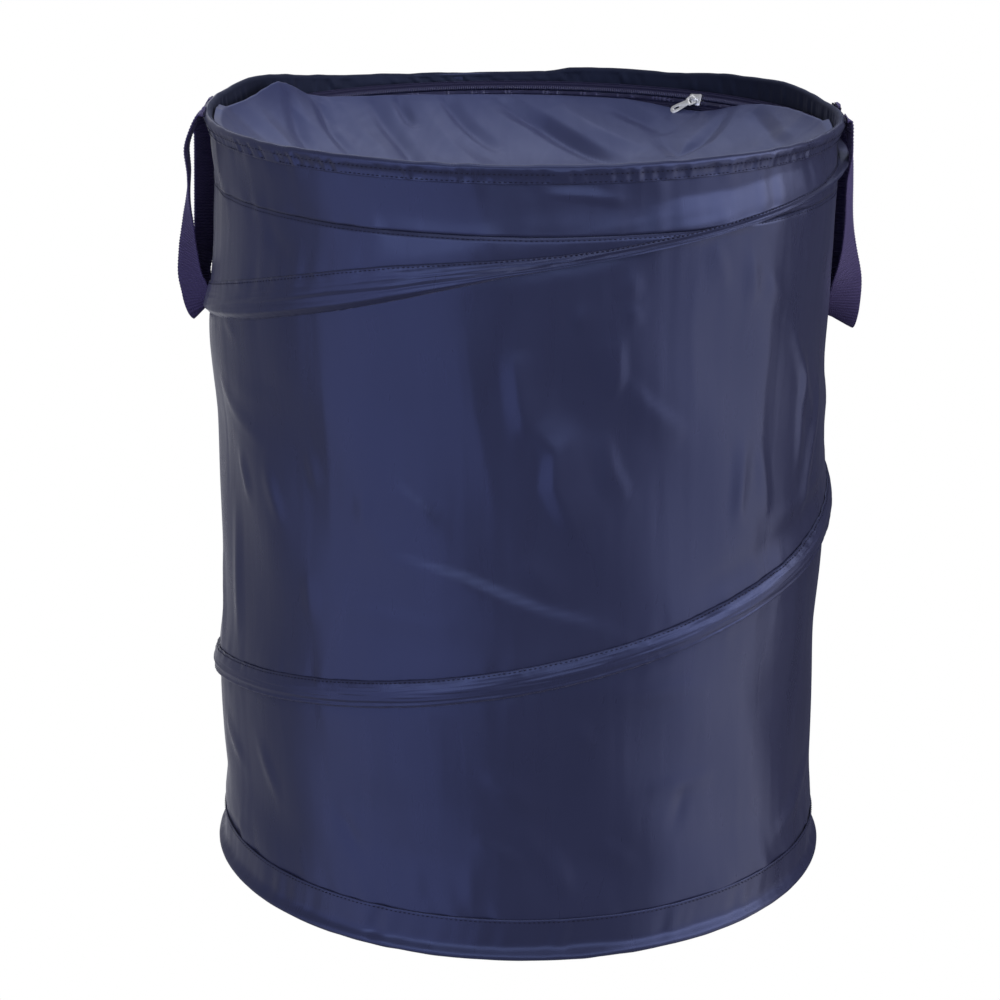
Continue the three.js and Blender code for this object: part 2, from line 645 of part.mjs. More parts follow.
// Pull: an eye around the crown's leg, a narrow neck and a rounded tab with a slot near its end
function pullTab() {
  const eye = PULL_EYE_WIDTH / 2;
  const neck = PULL_NECK_WIDTH / 2;
  const tab = PULL_TAB_WIDTH / 2;
  const start = -PULL_THICKNESS / 2;
  const eyeEnd = start + PULL_RAIL + PULL_EYE_LENGTH;
  const tip = start + PULL_LENGTH;
  const shape = new THREE.Shape();
  shape.moveTo(start, -eye);
  shape.lineTo(eyeEnd - PULL_RAIL, -eye);
  shape.quadraticCurveTo(eyeEnd, -eye, eyeEnd + PULL_RAIL, -neck);
  shape.lineTo(tip - 2 * tab, -tab);
  shape.absarc(tip - tab, 0, tab, -Math.PI / 2, Math.PI / 2);
  shape.lineTo(tip - 2 * tab, tab);
  shape.lineTo(eyeEnd + PULL_RAIL, neck);
  shape.quadraticCurveTo(eyeEnd, eye, eyeEnd - PULL_RAIL, eye);
  shape.lineTo(start, eye);
  shape.holes.push(eyeHole(start + PULL_RAIL, eye - PULL_RAIL), pullSlot(tip - PULL_SLOT_INSET));
  return extruded(shape, -PULL_THICKNESS / 2, PULL_THICKNESS / 2);
}

function eyeHole(start, half) {
  const end = start + PULL_EYE_LENGTH - PULL_RAIL;
  const hole = new THREE.Path();
  hole.moveTo(start, -half);
  hole.lineTo(start, half);
  hole.lineTo(end - half / 2, half);
  hole.lineTo(end, half / 2);
  hole.lineTo(end, -half / 2);
  hole.lineTo(end - half / 2, -half);
  return hole;
}

function pullSlot(end) {
  const half = PULL_SLOT_WIDTH / 2;
  const hole = new THREE.Path();
  hole.absarc(end - half, 0, half, Math.PI / 2, -Math.PI / 2, true);
  hole.absarc(end - PULL_SLOT_LENGTH + half, 0, half, -Math.PI / 2, -1.5 * Math.PI, true);
  return hole;
}

function addSlider() {
  addPiece('zip_slider', sliderBody(), 'slider').applyMatrix4(zipFrame(SLIDER_AZIMUTH));
  const pull = addPiece('zip_pull', pullTab(), 'slider');
  const seat = new THREE.Matrix4().makeTranslation(0, 0, PULL_AXIS_HEIGHT);
  const heading = new THREE.Matrix4().makeRotationZ(PULL_DIRECTION);
  const lift = new THREE.Matrix4().makeRotationY(-PULL_REST_LIFT);
  pull.applyMatrix4(zipFrame(SLIDER_AZIMUTH).multiply(seat).multiply(heading).multiply(lift));
}

// Lid edge: sewn at the rim casing's foot round the front, and at the lower zip tape behind
function lidEdge(azimuth) {
  const rearRadius = ZIP_CENTRE_RADIUS - (ZIP_TAPE_REACH + LAYER_GAP) * Math.sin(ZIP_SLOPE) - SEWN_GAP;
  const rearHeight = ZIP_CENTRE_HEIGHT - (ZIP_TAPE_REACH + LAYER_GAP) * Math.cos(ZIP_SLOPE);
  const toFront = THREE.MathUtils.smoothstep(-Math.sin(azimuth), 0, Math.sin(LID_EDGE_TURN));
  return {
    radius: THREE.MathUtils.lerp(rearRadius, CASING_INNER - LAYER_GAP, toFront),
    height: THREE.MathUtils.lerp(rearHeight, RIM_BOTTOM + LID_FRONT_INSET, toFront),
  };
}

// Point of the lid's upper face: it sags as a bowl, with slanting folds pulled towards the zip
function lidPoint(azimuth, share, halfGap) {
  const edge = lidEdge(azimuth);
  const x = edge.radius * share * Math.cos(azimuth);
  const y = edge.radius * share * Math.sin(azimuth);
  const across = x * Math.cos(LID_FOLD_HEADING) + y * Math.sin(LID_FOLD_HEADING);
  const free = 1 - share ** 2;
  const fold = LID_FOLD_DEPTH * Math.cos((2 * Math.PI * across) / LID_FOLD_LENGTH) * share * free;
  const centreHeight = lidEdge(0).height;
  const rimLine = THREE.MathUtils.lerp(centreHeight, edge.height, share ** 2);
  return new THREE.Vector3(x, y + halfGap, rimLine - LID_SAG * free + fold);
}

function lidHalf(side) {
  const half = FACETS / 2;
  const upper = [];
  const lower = [];
  for (let step = 0; step <= half; step += 1) {
    const azimuth = side * step * FACET_ANGLE;
    const row = Array.from({ length: LID_RINGS + 1 }, (_, ring) => (
      lidPoint(azimuth, ring / LID_RINGS, side * SEWN_GAP)
    ));
    upper.push(row);
    lower.push(row.map((point) => point.clone().setZ(point.z - FABRIC)));
  }
  return sheetSolid(upper, lower);
}

// Loop of webbing: down one leg, round and up the other, turning edge-on to the wall at its foot
function handleLoop() {
  const axisX = HANDLE_RADIUS * Math.cos(HANDLE_HALF_ANGLE);
  const top = HEIGHT - TACK_WIDTH - LAYER_GAP;
  const bend = top - HANDLE_STRAIGHT;
  const half = WEBBING_WIDTH / 2;
  const foot = new THREE.Vector3(Math.cos(HANDLE_TILT), 0, -Math.sin(HANDLE_TILT));
  const places = [];
  for (let step = -1; step <= HANDLE_STEPS + 1; step += 1) {
    const angle = Math.PI * THREE.MathUtils.clamp(step / HANDLE_STEPS, 0, 1);
    const isEnd = step < 0 || step > HANDLE_STEPS;
    const lean = Math.cos(angle) * HANDLE_HALF_ANGLE;
    const centre = new THREE.Vector3(
      axisX + (HANDLE_RADIUS - axisX + half * foot.x) * Math.sin(angle),
      (HANDLE_SPREAD / 2) * Math.cos(angle),
      isEnd ? top : bend - (HANDLE_DROP - HANDLE_STRAIGHT) * Math.sin(angle),
    );
    const flat = new THREE.Vector3(-Math.sin(lean), Math.cos(lean), 0).multiplyScalar(Math.cos(angle));
    const width = flat.addScaledVector(foot, Math.sin(angle));
    places.push({ centre, width });
  }
  return ribbon(places);
}

// Flat ribbon of webbing through a row of centres, each with the direction of its width
function ribbon(places) {
  const frames = places.map(({ centre, width }, index) => {
    const before = places[Math.max(index - 1, 0)].centre;
    const after = places[Math.min(index + 1, places.length - 1)].centre;
    const along = after.clone().sub(before).normalize();
    const across = width.clone().addScaledVector(along, -width.dot(along)).normalize();
    return new THREE.Matrix4().makeBasis(across, along.clone().cross(across), along).setPosition(centre);
  });
  const half = WEBBING_WIDTH / 2;
  const thick = WEBBING_THICKNESS / 2;
  const section = rectangleSection(-half, half, -thick, thick);
  return sweptSolid(frames.map(() => section), (index, u, v) => (
    new THREE.Vector3(u, v, 0).applyMatrix4(frames[index])
  ));
}

// Thick thread bar that ties one end of a loop to the rim casing
function tackBar(end) {
  const bar = new THREE.BoxGeometry(TACK_WIDTH, WEBBING_WIDTH, TACK_WIDTH);
  bar.translate(OUTER_DIAMETER / 2 - TACK_INSET + TACK_WIDTH / 2, 0, HEIGHT - TACK_WIDTH / 2);
  return bar.rotateZ(end * HANDLE_HALF_ANGLE);
}

function addHandles() {
  for (const [side, turn] of [['right', 0], ['left', Math.PI]]) {
    addPiece(`handle_${side}`, handleLoop(), 'webbing').rotateZ(turn);
    addPiece(`handle_tack_${side}_a`, tackBar(-1), 'thread').rotateZ(turn);
    addPiece(`handle_tack_${side}_b`, tackBar(1), 'thread').rotateZ(turn);
  }
}

addBase();
addWall();
addRim();
addZipTapesAndCoils();
const stopTurn = (ZIP_STOP_LENGTH / 2 + LAYER_GAP) / ZIP_CENTRE_RADIUS;
addZipStop('zip_stop_right', ZIP_FIRST_AZIMUTH - stopTurn);
addZipStop('zip_stop_left', ZIP_LAST_AZIMUTH + stopTurn);
addSlider();
addPiece('lid_flap', lidHalf(1), 'lid');
addPiece('lid_front', lidHalf(-1), 'lid');
addHandles();

export default hamper;
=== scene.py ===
"""Looks of a pop up laundry hamper: taffeta panels, sewn casings, zip, webbing loops and a soft studio."""

import math

import bmesh
import bpy
import numpy as np
from mathutils import Matrix, Vector


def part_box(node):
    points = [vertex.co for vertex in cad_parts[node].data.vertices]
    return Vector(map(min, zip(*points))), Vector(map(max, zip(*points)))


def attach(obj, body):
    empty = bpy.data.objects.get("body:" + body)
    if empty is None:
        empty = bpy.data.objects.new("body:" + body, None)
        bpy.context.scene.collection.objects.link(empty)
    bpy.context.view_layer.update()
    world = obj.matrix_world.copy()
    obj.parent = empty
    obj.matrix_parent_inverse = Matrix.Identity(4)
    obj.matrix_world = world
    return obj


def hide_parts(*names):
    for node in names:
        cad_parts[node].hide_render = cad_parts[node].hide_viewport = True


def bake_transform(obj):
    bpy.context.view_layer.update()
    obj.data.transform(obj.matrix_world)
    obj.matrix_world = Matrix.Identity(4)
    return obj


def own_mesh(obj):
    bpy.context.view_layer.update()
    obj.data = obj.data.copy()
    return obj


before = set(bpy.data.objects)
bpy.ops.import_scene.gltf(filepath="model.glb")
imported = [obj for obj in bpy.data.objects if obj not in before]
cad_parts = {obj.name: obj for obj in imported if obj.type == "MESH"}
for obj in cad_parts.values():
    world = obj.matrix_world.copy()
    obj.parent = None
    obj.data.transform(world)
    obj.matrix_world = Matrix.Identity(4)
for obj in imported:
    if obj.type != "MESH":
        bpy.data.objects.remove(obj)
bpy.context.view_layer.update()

bl_info = {
    "name": "Pop up laundry hamper",
    "version": (1, 0, 0),
    "blender": (4, 5, 0),
    "location": "3D View > Sidebar > Hamper",
    "description": "Dresses the hamper's frame in taffeta, webbing, thread and a zip",
    "category": "Object",
}

# Sizes taken from the frame, in metres
OUTER_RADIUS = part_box("rim_casing")[1].x
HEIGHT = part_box("rim_casing")[1].z
RIM_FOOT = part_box("rim_casing")[0].z
BASE_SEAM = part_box("base_casing")[1].z
YOKE_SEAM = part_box("yoke_band")[0].z
WALL_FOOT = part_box("side_wall")[0].z
WALL_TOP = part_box("yoke_band")[1].z
WALL_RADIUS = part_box("side_wall")[1].x
PANEL_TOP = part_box("base_panel")[1].z

# Usual sizes in metres of the ring wires and of the hems round them. HEM_TURN is the radius of the
# cloth's turn round the wire, HEM_NECK the reach of its bulge below it, and RIM_INNER_SIDE how far
# across the strip its inner side starts
RING_RADIUS = 0.2257
WIRE_RADIUS = 0.0012
HEM_TURN = 0.0028
HEM_NECK = 0.0048
HEM_INNER_LEG = 0.2223
HEM_OFF_WALL = 0.0011
HEM_INNER_SHARE = 0.7
HEM_ROPE_LEAN = 0.16
HEM_STITCH_OFF_WALL = 0.0012
RIM_RIBS = 300
BASE_RIBS = 150
BASE_INNER_FOOT = 0.012
BASE_FLARE = 0.0018
BASE_PUCKER = 0.0009
PANEL_WAVE = 0.0012
RIM_INNER_SIDE = 0.0145

# The bound side seam
BINDING_WIDTH = 0.012
BINDING_RIPPLE = 0.0004
BINDING_THICKNESS = 0.0008
BINDING_INSET = 0.0022

# The spiral wire: its height at each quarter turn from the right, as shares of the height
SPIRAL_SHARES = (0.014, 0.118, 0.247, 0.358, 0.493, 0.64, 0.742, 0.878, 0.952, 0.977)

# The casing over the wire, in metres: its even width, the radius of its crest, how far its strip
# lies off the wall, how much fuller the upper turn is, the reach of the roll that hides the wire, and
# the height of its swells, puckers and slack; then in turns, what its noise closes after, and where
# the upper turn and the flat end under the rim start
CASING_WIDTH = 0.02
CASING_CREST = 0.2309
CASING_OFF_WALL = 0.0006
CASING_FULLER = 0.0013
WIRE_COVER = 0.0018
CASING_SWELL = 0.0005
CASING_PUCKER = 0.0005
CASING_SLACK = 0.0006
CASING_LAPS = 2.5
CASING_UPPER_FROM = (1.15, 1.4)
CASING_TUCKED_FROM = (1.84, 1.97)

# The spiral casing along its turns: how far its lower edge hangs below the wire, and its width,
# which narrows towards the rim under the yoke
CASING_TURNS = (1.5, 1.56, 1.6, 1.66, 1.69, 1.72, 1.74, 1.764, 1.79, 1.83)
CASING_BELOWS = (0.0032, 0.009, 0.0115, 0.0105, 0.0085, 0.0055, 0.0036, 0.0032, 0.0032, 0.0032)
CASING_WIDTHS = (0.02, 0.0258, 0.0283, 0.0272, 0.0235, 0.0165, 0.0118, 0.0088, 0.0066, 0.0064)

# The wall between the wires, in metres: how far it draws in, its regular waves round the wall with
# their lean, the edge that seams hold, and the size of each kind of relief
DRAW_IN = 0.003
FOLD_DEPTH = 0.0012
FOLD_COUNT = 11
FOLD_LEAN = 1.7
HELD_EDGE = 0.045
FOLD_CREST = 0.0009
BILLOW = 0.0010
SMALL_BILLOW = 0.00045
RIPPLE = 0.00009
SEAM_PUCKER = 0.0008
WIRE_PUCKER = 0.0005

# Where the wall stands out at the left and sinks in over the lower turn: how far, then each place as
# the middle and the spread of a bell, in degrees round, metres up or metres above the wire
LEFT_SWELL = 0.0035
LEFT_SWELL_AZIMUTH = (183, 15)
LEFT_SWELL_HEIGHT = (0.385, 0.04)
LOWER_HOLLOW = 0.0022
LOWER_HOLLOW_HEIGHT = (0.032, 0.013)
LOWER_HOLLOW_SPAN = (296, 312, 340, 358)

# How far from the wire and the seams the folds fade, in metres, and each seam's puckers: its height,
# the seed and the reach; then the reach of the wire's puckers below it and above its casing
FADE_BY_WIRE = (0.002, 0.012)
FADE_BY_BASE = 0.014
FADE_BY_RIM = 0.012
FADE_BY_YOKE = 0.006
SEAM_PUCKERS = ((BASE_SEAM, 11, 0.014), (YOKE_SEAM, 12, 0.008), (RIM_FOOT, 13, 0.009))
PUCKERS_BELOW_WIRE = 0.012
PUCKERS_OVER_CASING = 0.01

# Seeded folds of the rear, which the photograph doesn't show
REAR_FOLDS = 44
REAR_FOLD_SHARE = 1.4

# How far the wire pulls the wall out: height above the wire, and the pull, in metres
WIRE_PULL = (
    (-0.08, 0.0), (-0.055, 0.0009), (-0.03, 0.0014), (-0.008, 0.0017), (-0.0032, 0.0013), (0, 0.0007),
    (0.003, 0.0008), (0.008, 0.0015), (0.0168, 0.0021), (0.024, 0.0016), (0.035, 0.0007), (0.05, 0),
)

# Columns of the wall's grid: finer on the front, where the light shows each crease
FRONT_TURNS = (0.486, 1.014)
FRONT_SHARE = 0.79

# Where the yoke bends out over the spiral on the right: azimuths in degrees, heights in metres
YOKE_BEND_AZIMUTHS = (282, 291, 298, 308, 319, 345)
YOKE_BEND_HEIGHTS = (0.520, 0.5293, 0.5331, 0.5355, 0.5386, 0.541)
YOKE_BEND_SPAN = (284, 306, 328, 354)
YOKE_REACH = 0.0048

# The zip: its circle, the slope of its plane, its ends, and its tapes and coils in metres
ZIP_RADIUS = 0.2185905
ZIP_HEIGHT = 0.5385
ZIP_SLOPE = math.radians(22)
ZIP_FIRST = math.radians(7)
ZIP_LAST = math.radians(175)
TAPE_WIDTH = 0.0064
TAPE_THICKNESS = 0.0006
TAPE_START = 0.0011
TAPE_OUT = 0.0003
TAPE_RIDGE = 0.00025
RIM_TAPE_OVER = 0.009
LID_TAPE_SHORT = 0.010
COIL_SIZE = (0.0016, 0.00115, 0.0032)
COIL_DOWN = 0.0019
COIL_OUT = 0.0014

# The lid, in metres: the sag of its bowl, its edges, its billows and the rounding of its folds; the
# scale of its fold table; as shares of the radius, the reach and the top of its rear rise; in
# radians, where its corners start behind the middle line and its front is reached before it; and how
# tightly its grid packs at the edge
LID_SAG = 0.034
LID_FRONT_EDGE = 0.546
LID_REAR_EDGE = 0.5313
LID_FRONT_RADIUS = 0.2217
LID_REAR_RADIUS = 0.2153
LID_BILLOW = 0.0018
LID_FOLD_CREST = 0.006
LID_FOLD_SCALE = (1 / 215, 1 / 215, 0.001)
LID_RISE_REACH = 0.13
LID_RISE_TOP = 0.022
LID_CORNER = (math.radians(14), math.radians(4))
LID_FRONT_SPAN = math.radians(26)
LID_GRID_PACK = 1.35

# The webbing loops
WEBBING_WIDTH = 0.025
WEBBING_THICKNESS = 0.0016
WEBBING_RIB = 0.0004

# Stations of the loops, from the rim down the front leg to the foot: height, distance out,
# distance to the front (millimetres), and the turn of the webbing's width (degrees)
HANDLE_STATIONS = {
    "right": (
        (558.3, 226.6, 30, -7.5), (556.8, 228.7, 30, -7.5), (546, 229.6, 30, -6), (531, 231.8, 28.5, 8),
        (512, 231.8, 26, 18), (482, 232.8, 22, 22), (457, 234, 18, 38), (436, 234.4, 13, 62),
        (418, 233, 8, 78), (408.5, 231.8, 3.4, 87), (406, 231.4, 0, 90),
    ),
    "left": (
        (558.9, 225.4, 30, -7.5), (557.6, 229.2, 30, -7.5), (547, 234.6, 30, -6), (533, 239, 29, 0),
        (515, 238.2, 27, 5), (495, 239.4, 24, 16), (478, 240.2, 21, 32), (458, 241.2, 17, 44),
        (438, 240.9, 12, 52), (422, 237, 7, 62), (413, 233.8, 2.6, 80), (411, 232.8, 0, 90),
    ),
}
HANDLE_TILTS = {"right": math.radians(29), "left": math.radians(47)}

# The rear leg of each loop lies by the wall: distance out (millimetres) and turn (degrees)
REAR_LEGS = {"right": (231.2, 26), "left": (232.6, 42)}

# The wave of the rim's top edge: azimuths in degrees, millimetres above the flat ring
RIM_WAVE = (
    (0, 0), (14, 0), (18, 1.2), (23, 3.4), (30, 4.8), (36, 4.2), (42, 3.2), (47, 3.0),
    (52, 1.2), (56, -0.4), (61, -1.0), (69, -0.6), (76, -0.8), (81, -2.0), (86, -5.2), (94, -5.8),
    (106, -5.8), (114, -5.2), (121, -3.9), (128, -2.4), (133, -0.8), (138, 1.2), (143, 3.5), (149, 6.2),
    (156, 7.2), (165, 4.8), (173, 3.6), (180, 2.6), (188, 1.0), (198, 0), (360, 0),
)

# The rise of the lid's free edge over the zip: azimuths in degrees, millimetres
LID_RISE = (
    (-24, 0), (-12, 8), (0, 16), (6, 19.5), (16, 19.5), (23, 18.5), (32, 16), (38, 12.5), (42, 8.6),
    (46, 4.6), (50, 2), (56, 1.6), (62, 4.4), (68, 6.2), (88, 6.4), (95, 6.8), (106, 7.4), (117, 8.8),
    (129, 11.2), (136, 13.2), (142, 17.6), (146, 25), (149, 29.5), (152, 32), (155, 30.5), (161, 27),
    (166, 25.5), (173, 25.5), (180, 25.5), (190, 18), (200, 8), (208, 0), (336, 0),
)

# The studio: the tone of the air round the hamper, then each softbox's azimuth from the front
# towards the right, height, distance, width and height, radiance and colour
AIR = (0.27, 0.27, 0.29, 1)
LIGHT_AIM = 0.3
SOFTBOXES = (
    ("left softbox", -49, 0.0, 2.2, (2.5, 2.8), 0.95, (0.62, 0.66, 1.0)),
    ("right softbox", 78.5, 0.0, 2.2, (2.14, 2.8), 0.95, (0.95, 0.92, 1.0)),
    ("rear left softbox", -165, 0.0, 2.2, (1.2, 2.8), 0.3, (1.0, 1.0, 1.0)),
    ("high right softbox", 71, 1.15, 2.0, (2.5, 1.1), 2.8, (0.86, 0.87, 1.0)),
    ("high front softbox", -6, 1.1, 2.2, (4.2, 1.25), 1.6, (0.8, 0.87, 1.0)),
    ("high rear softbox", 176, 2.0, 1.8, (2.1, 1.5), 0.85, (0.6, 0.68, 1.0)),
    ("top softbox", 10, 2.8, 0.3, (2.0, 2.0), 1.6, (1.0, 1.0, 1.0)),
)

# The camera of the photograph: lens in millimetres, shifts, tilt below the horizon and roll in
# radians, and its place
CAMERA_LENS = 96.413
CAMERA_SHIFT = (-0.02128, -0.02487)
CAMERA_TILT = 0.2924
CAMERA_ROLL = 0.0091
CAMERA_SPOT = (0, -1.91204, 0.85969)

# A dark card at the right rear, which keeps the wall's right edge dark: azimuth, distance, size
DARK_CARD = (135, 2.0, (2.5, 2.8))

# Tones of the metals, the rounding of the zip's edges in metres, the taffeta's threads and crumples
# per metre, and the painted shade on a hem's inner side, as a share of its colour
STEEL = (0.6, 0.61, 0.63)
DIE_CASTING = (0.93, 0.93, 0.95)
METAL_EDGE = 0.00018
TAFFETA_THREADS = 2600.0
TAFFETA_CRUMPLE = 70.0
INNER_PAINTED_SHADE = 0.1

# A stitch, in metres, and the share of its length without the gap
STITCH_THICKNESS = 0.0005
STITCH_WIDTH = 0.0006
STITCH_SHARE = 0.6
STITCH_PROUD = 0.0002

# A full turn, in radians
TAU = 2 * math.pi

# Folds of the wall: the widths of the flanks on the left and right when the fold runs down, and its
# height, in millimetres, then the line that it follows, as azimuths in degrees and heights in
# millimetres in turn; a height below zero is a groove
WALL_FOLDS = (
    (16, 34, 1.2, 234, 452, 234, 376, 234.4, 277), (34, 15, 1.3, 260.5, 454, 262, 394, 266, 316),
    (34, 15, 1.4, 317, 499, 318.4, 454, 318.2, 370, 316, 271), (6.5, 9.5, 1.2, 202, 425, 208, 416),
    (9.5, 8, 1.5, 197, 376, 205, 360, 217, 345), (13, 8, 1, 206.5, 377, 223, 382),
    (8, 11, 2, 206, 328, 208.5, 314, 210, 299), (9.5, 9.5, 1.5, 217, 328, 222, 292),
    (8, 11, 1.2, 229, 350, 231, 324), (9.5, 8, 1.2, 242, 331, 241, 307),
    (13, 6.5, 1.5, 247, 339, 256, 313), (11, 6.5, 1, 242, 302, 249, 296),
    (12, 26, 3.2, 269, 437, 269.4, 415, 270.7, 375),
    (11, 26, 4.2, 271.4, 385, 275.8, 367, 275.6, 343, 279.7, 307), (8, 13, 1.2, 279, 464, 280, 450),
    (13, 8, 1.2, 288, 486, 289, 469), (13, 8, 1.2, 290, 461, 288, 454),
    (20, 7, 1.9, 286, 445, 286.5, 415, 285.4, 402), (18, 7, 1.8, 288, 412, 292, 394, 300, 371),
    (14.5, 8, 1.5, 284, 379, 286, 349, 289, 332), (13, 8, 1.4, 304, 501, 307, 469),
    (11, 8, 1.4, 312.5, 489, 314, 456), (13, 8, 1.5, 317, 470, 324, 448),
    (9.5, 9.5, 1.8, 313, 360, 312, 310, 314, 297), (9.5, 9.5, 1.8, 318, 347, 320, 298),
    (13, 8, 1.5, 321, 294, 355, 310), (30, 6, 2.4, 242, 292, 260, 276, 272, 257, 286, 240),
    (9.5, 11, 1.2, 229, 264, 230, 229), (14.5, 6.5, 1.2, 235, 242, 243, 246, 260, 241),
    (9.5, 9.5, 1.5, 196, 115, 206, 91), (9.5, 11, 1.5, 213, 121, 219, 83),
    (9.5, 8, 1.2, 199, 40, 212, 31), (9.5, 9.5, -1.4, 235, 93, 241, 58), (9.5, 8, 1, 251, 66, 252, 35),
    (8, 14.5, 1.4, 264, 139, 270, 110), (13, 6.5, 1.4, 262, 89, 272, 70),
    (9.5, 11, 1, 261, 68, 262, 38), (13, 8, 1.2, 279.5, 176, 283, 158),
    (8, 14.5, 1.4, 267, 133, 273, 110), (9.5, 14.5, 1.8, 270, 99, 279, 49),
    (13, 8, 1.4, 277, 81, 279, 47), (14.5, 8, 1.2, 284, 86, 291, 66),
    (13, 6.5, 1.2, 293.5, 118, 308.6, 121), (9.5, 9.5, -1.2, 302, 116, 299, 85),
    (14.5, 6.5, 1.2, 284, 195, 301, 193, 306.5, 184), (11, 9.5, 1.8, 327, 50, 352, 85),
    (9.5, 9.5, 2.1, 327, 427, 337, 353), (8, 11, 1.8, 332, 408, 331.5, 322),
    (11, 8, 2.1, 342, 378, 332.5, 284), (19, 19, 1.2, 301, 497, 300, 443, 302, 380),
    (9.5, 14.5, 1.4, 270, 292, 277, 264), (9.5, 13, 1.5, 190, 240, 193, 169),
    (11, 13, 1.8, 202, 289, 205, 186), (9.5, 9.5, -1.2, 219, 497, 226, 484),
    (4, 12, 1.6, 273, 541, 280, 538, 287, 533),
)

# Folds of the lid, in the same way; the line's points are shares of the radius, x to the right and
# y to the rear
LID_FOLDS = (
    (9, 9, -3.4, -0.83, 0.5, -0.78, 0.3, -0.7, 0.1),
    (7.5, 7.5, -3.8, -0.73, 0.62, -0.68, 0.45, -0.58, 0.25),
    (9, 11.2, -4.9, -0.56, 0.8, -0.43, 0.5, -0.27, 0.02), (6, 6.8, -2.9, -0.47, 0.86, -0.4, 0.68),
    (6.8, 10.5, -4, -0.3, 0.93, -0.22, 0.76, -0.1, 0.55),
    (13.5, 10.5, -7.2, -0.11, 0.96, 0.06, 0.8, 0.2, 0.58, 0.36, 0.34),
    (18, 21, 3.4, 0.12, 0.92, 0.26, 0.7, 0.44, 0.48),
    (21, 15, 3.4, -0.93, 0.28, -0.75, 0.08, -0.5, -0.15, -0.2, -0.3),
    (10.5, 10.5, -4, 0.48, 0.62, 0.54, 0.38, 0.62, 0.44, 0.72, 0.62),
    (10.5, 10.5, -2.9, 0.3, 0.9, 0.44, 0.74, 0.52, 0.6),
    (15, 18, 2.5, -0.66, 0.7, -0.5, 0.4, -0.42, 0.2),
    (18, 15, 3.1, -0.38, 0.88, -0.24, 0.52, -0.08, 0.22),
    (24, 21, 2.5, 0.1, 0.2, 0.32, -0.1, 0.5, -0.45), (7.5, 7.5, -2.5, 0.8, 0.52, 0.84, 0.3, 0.86, 0.05),
)


# Settings


LENGTH = {"unit": "LENGTH"}
COLOUR = {"subtype": "COLOR", "size": 3}


class HamperSizes(bpy.types.PropertyGroup):
    """Sizes of the cloth work that a user may change."""

    cloth_thickness: bpy.props.FloatProperty(
        name="Cloth thickness", description="Thickness of the taffeta", default=0.0005, min=0.0001, **LENGTH
    )
    pucker_depth: bpy.props.FloatProperty(
        name="Pucker depth", description="How far the rim puckers", default=0.0012, min=0, **LENGTH
    )
    stitch_length: bpy.props.FloatProperty(
        name="Stitch length", description="A stitch with its gap", default=0.0034, min=0.001, **LENGTH
    )
    tooth_pitch: bpy.props.FloatProperty(
        name="Tooth pitch", description="Between two coils of the zip", default=0.0016, min=0.0005, **LENGTH
    )
    rib_pitch: bpy.props.FloatProperty(
        name="Rib pitch", description="Between two ribs of webbing", default=0.0022, min=0.0005, **LENGTH
    )


class HamperColours(bpy.types.PropertyGroup):
    """Colours of the cloth, zip tape and coils, webbing and thread."""

    wall: bpy.props.FloatVectorProperty(
        name="Wall", description="Taffeta of the wall", default=(0.021, 0.0225, 0.050), **COLOUR
    )
    # The lid is the wall's taffeta given a lighter colour: painted light for the light falling on it from
    # above
    lid: bpy.props.FloatVectorProperty(
        name="Lid", description="Taffeta of the lid", default=(0.030, 0.035, 0.090), **COLOUR
    )
    casing: bpy.props.FloatVectorProperty(
        name="Casing", description="Doubled cloth of the casings", default=(0.021, 0.0225, 0.050), **COLOUR
    )
    tape: bpy.props.FloatVectorProperty(
        name="Zip tape", description="Woven tape of the zip", default=(0.008, 0.009, 0.028), **COLOUR
    )
    coil: bpy.props.FloatVectorProperty(
        name="Zip coil", description="Nylon of the zip's coils", default=(0.045, 0.045, 0.11), **COLOUR
    )
    webbing: bpy.props.FloatVectorProperty(
        name="Webbing", description="Webbing of the loops", default=(0.032, 0.024, 0.070), **COLOUR
    )
    thread: bpy.props.FloatVectorProperty(
        name="Thread", description="Sewing thread", default=(0.004, 0.005, 0.014), **COLOUR
    )


def settings(context):
    return context.scene.hamper_sizes, context.scene.hamper_colours


# Curves and noise


def catmull_rom(t, p0, p1, p2, p3):
    start, end = (p2 - p0) / 2, (p3 - p1) / 2
    return p1 + start * t + (3 * (p2 - p1) - 2 * start - end) * t**2 + (2 * (p1 - p2) + start + end) * t**3


def spiral_height(turn):
    """Height of the spiral wire after a number of turns from the right."""
    shares, last = SPIRAL_SHARES, len(SPIRAL_SHARES) - 1
    quarter = turn * 4
    step = (shares[last] - shares[0]) / last
    if quarter <= 0:
        return HEIGHT * (shares[0] + step * quarter)
    if quarter >= last:
        return HEIGHT * (shares[last] + step * (quarter - last))
    i = int(quarter)
    before, after = shares[max(i - 1, 0)], shares[min(i + 2, last)]
    return HEIGHT * catmull_rom(quarter - i, before, shares[i], shares[i + 1], after)


SPIRAL_TURNS = np.linspace(-1, 4, 4001)
SPIRAL_HEIGHTS = np.array([spiral_height(turn) for turn in SPIRAL_TURNS])


def wire_height(turns):
    return np.interp(turns, SPIRAL_TURNS, SPIRAL_HEIGHTS)


def wire_turn(z):
    return np.interp(z, SPIRAL_HEIGHTS, SPIRAL_TURNS)


def smoothstep(x, low, high):
    t = np.clip((x - low) / (high - low), 0, 1)
    return t * t * (3 - 2 * t)


def plateau(x, rise_from, rise_to, fall_from, fall_to):
    """0 outside the four values and 1 between the middle two, with soft slopes."""
    return smoothstep(x, rise_from, rise_to) * smoothstep(-x, -fall_to, -fall_from)


def bell(x, middle, spread):
    return np.exp(-(((x - middle) / spread) ** 2))


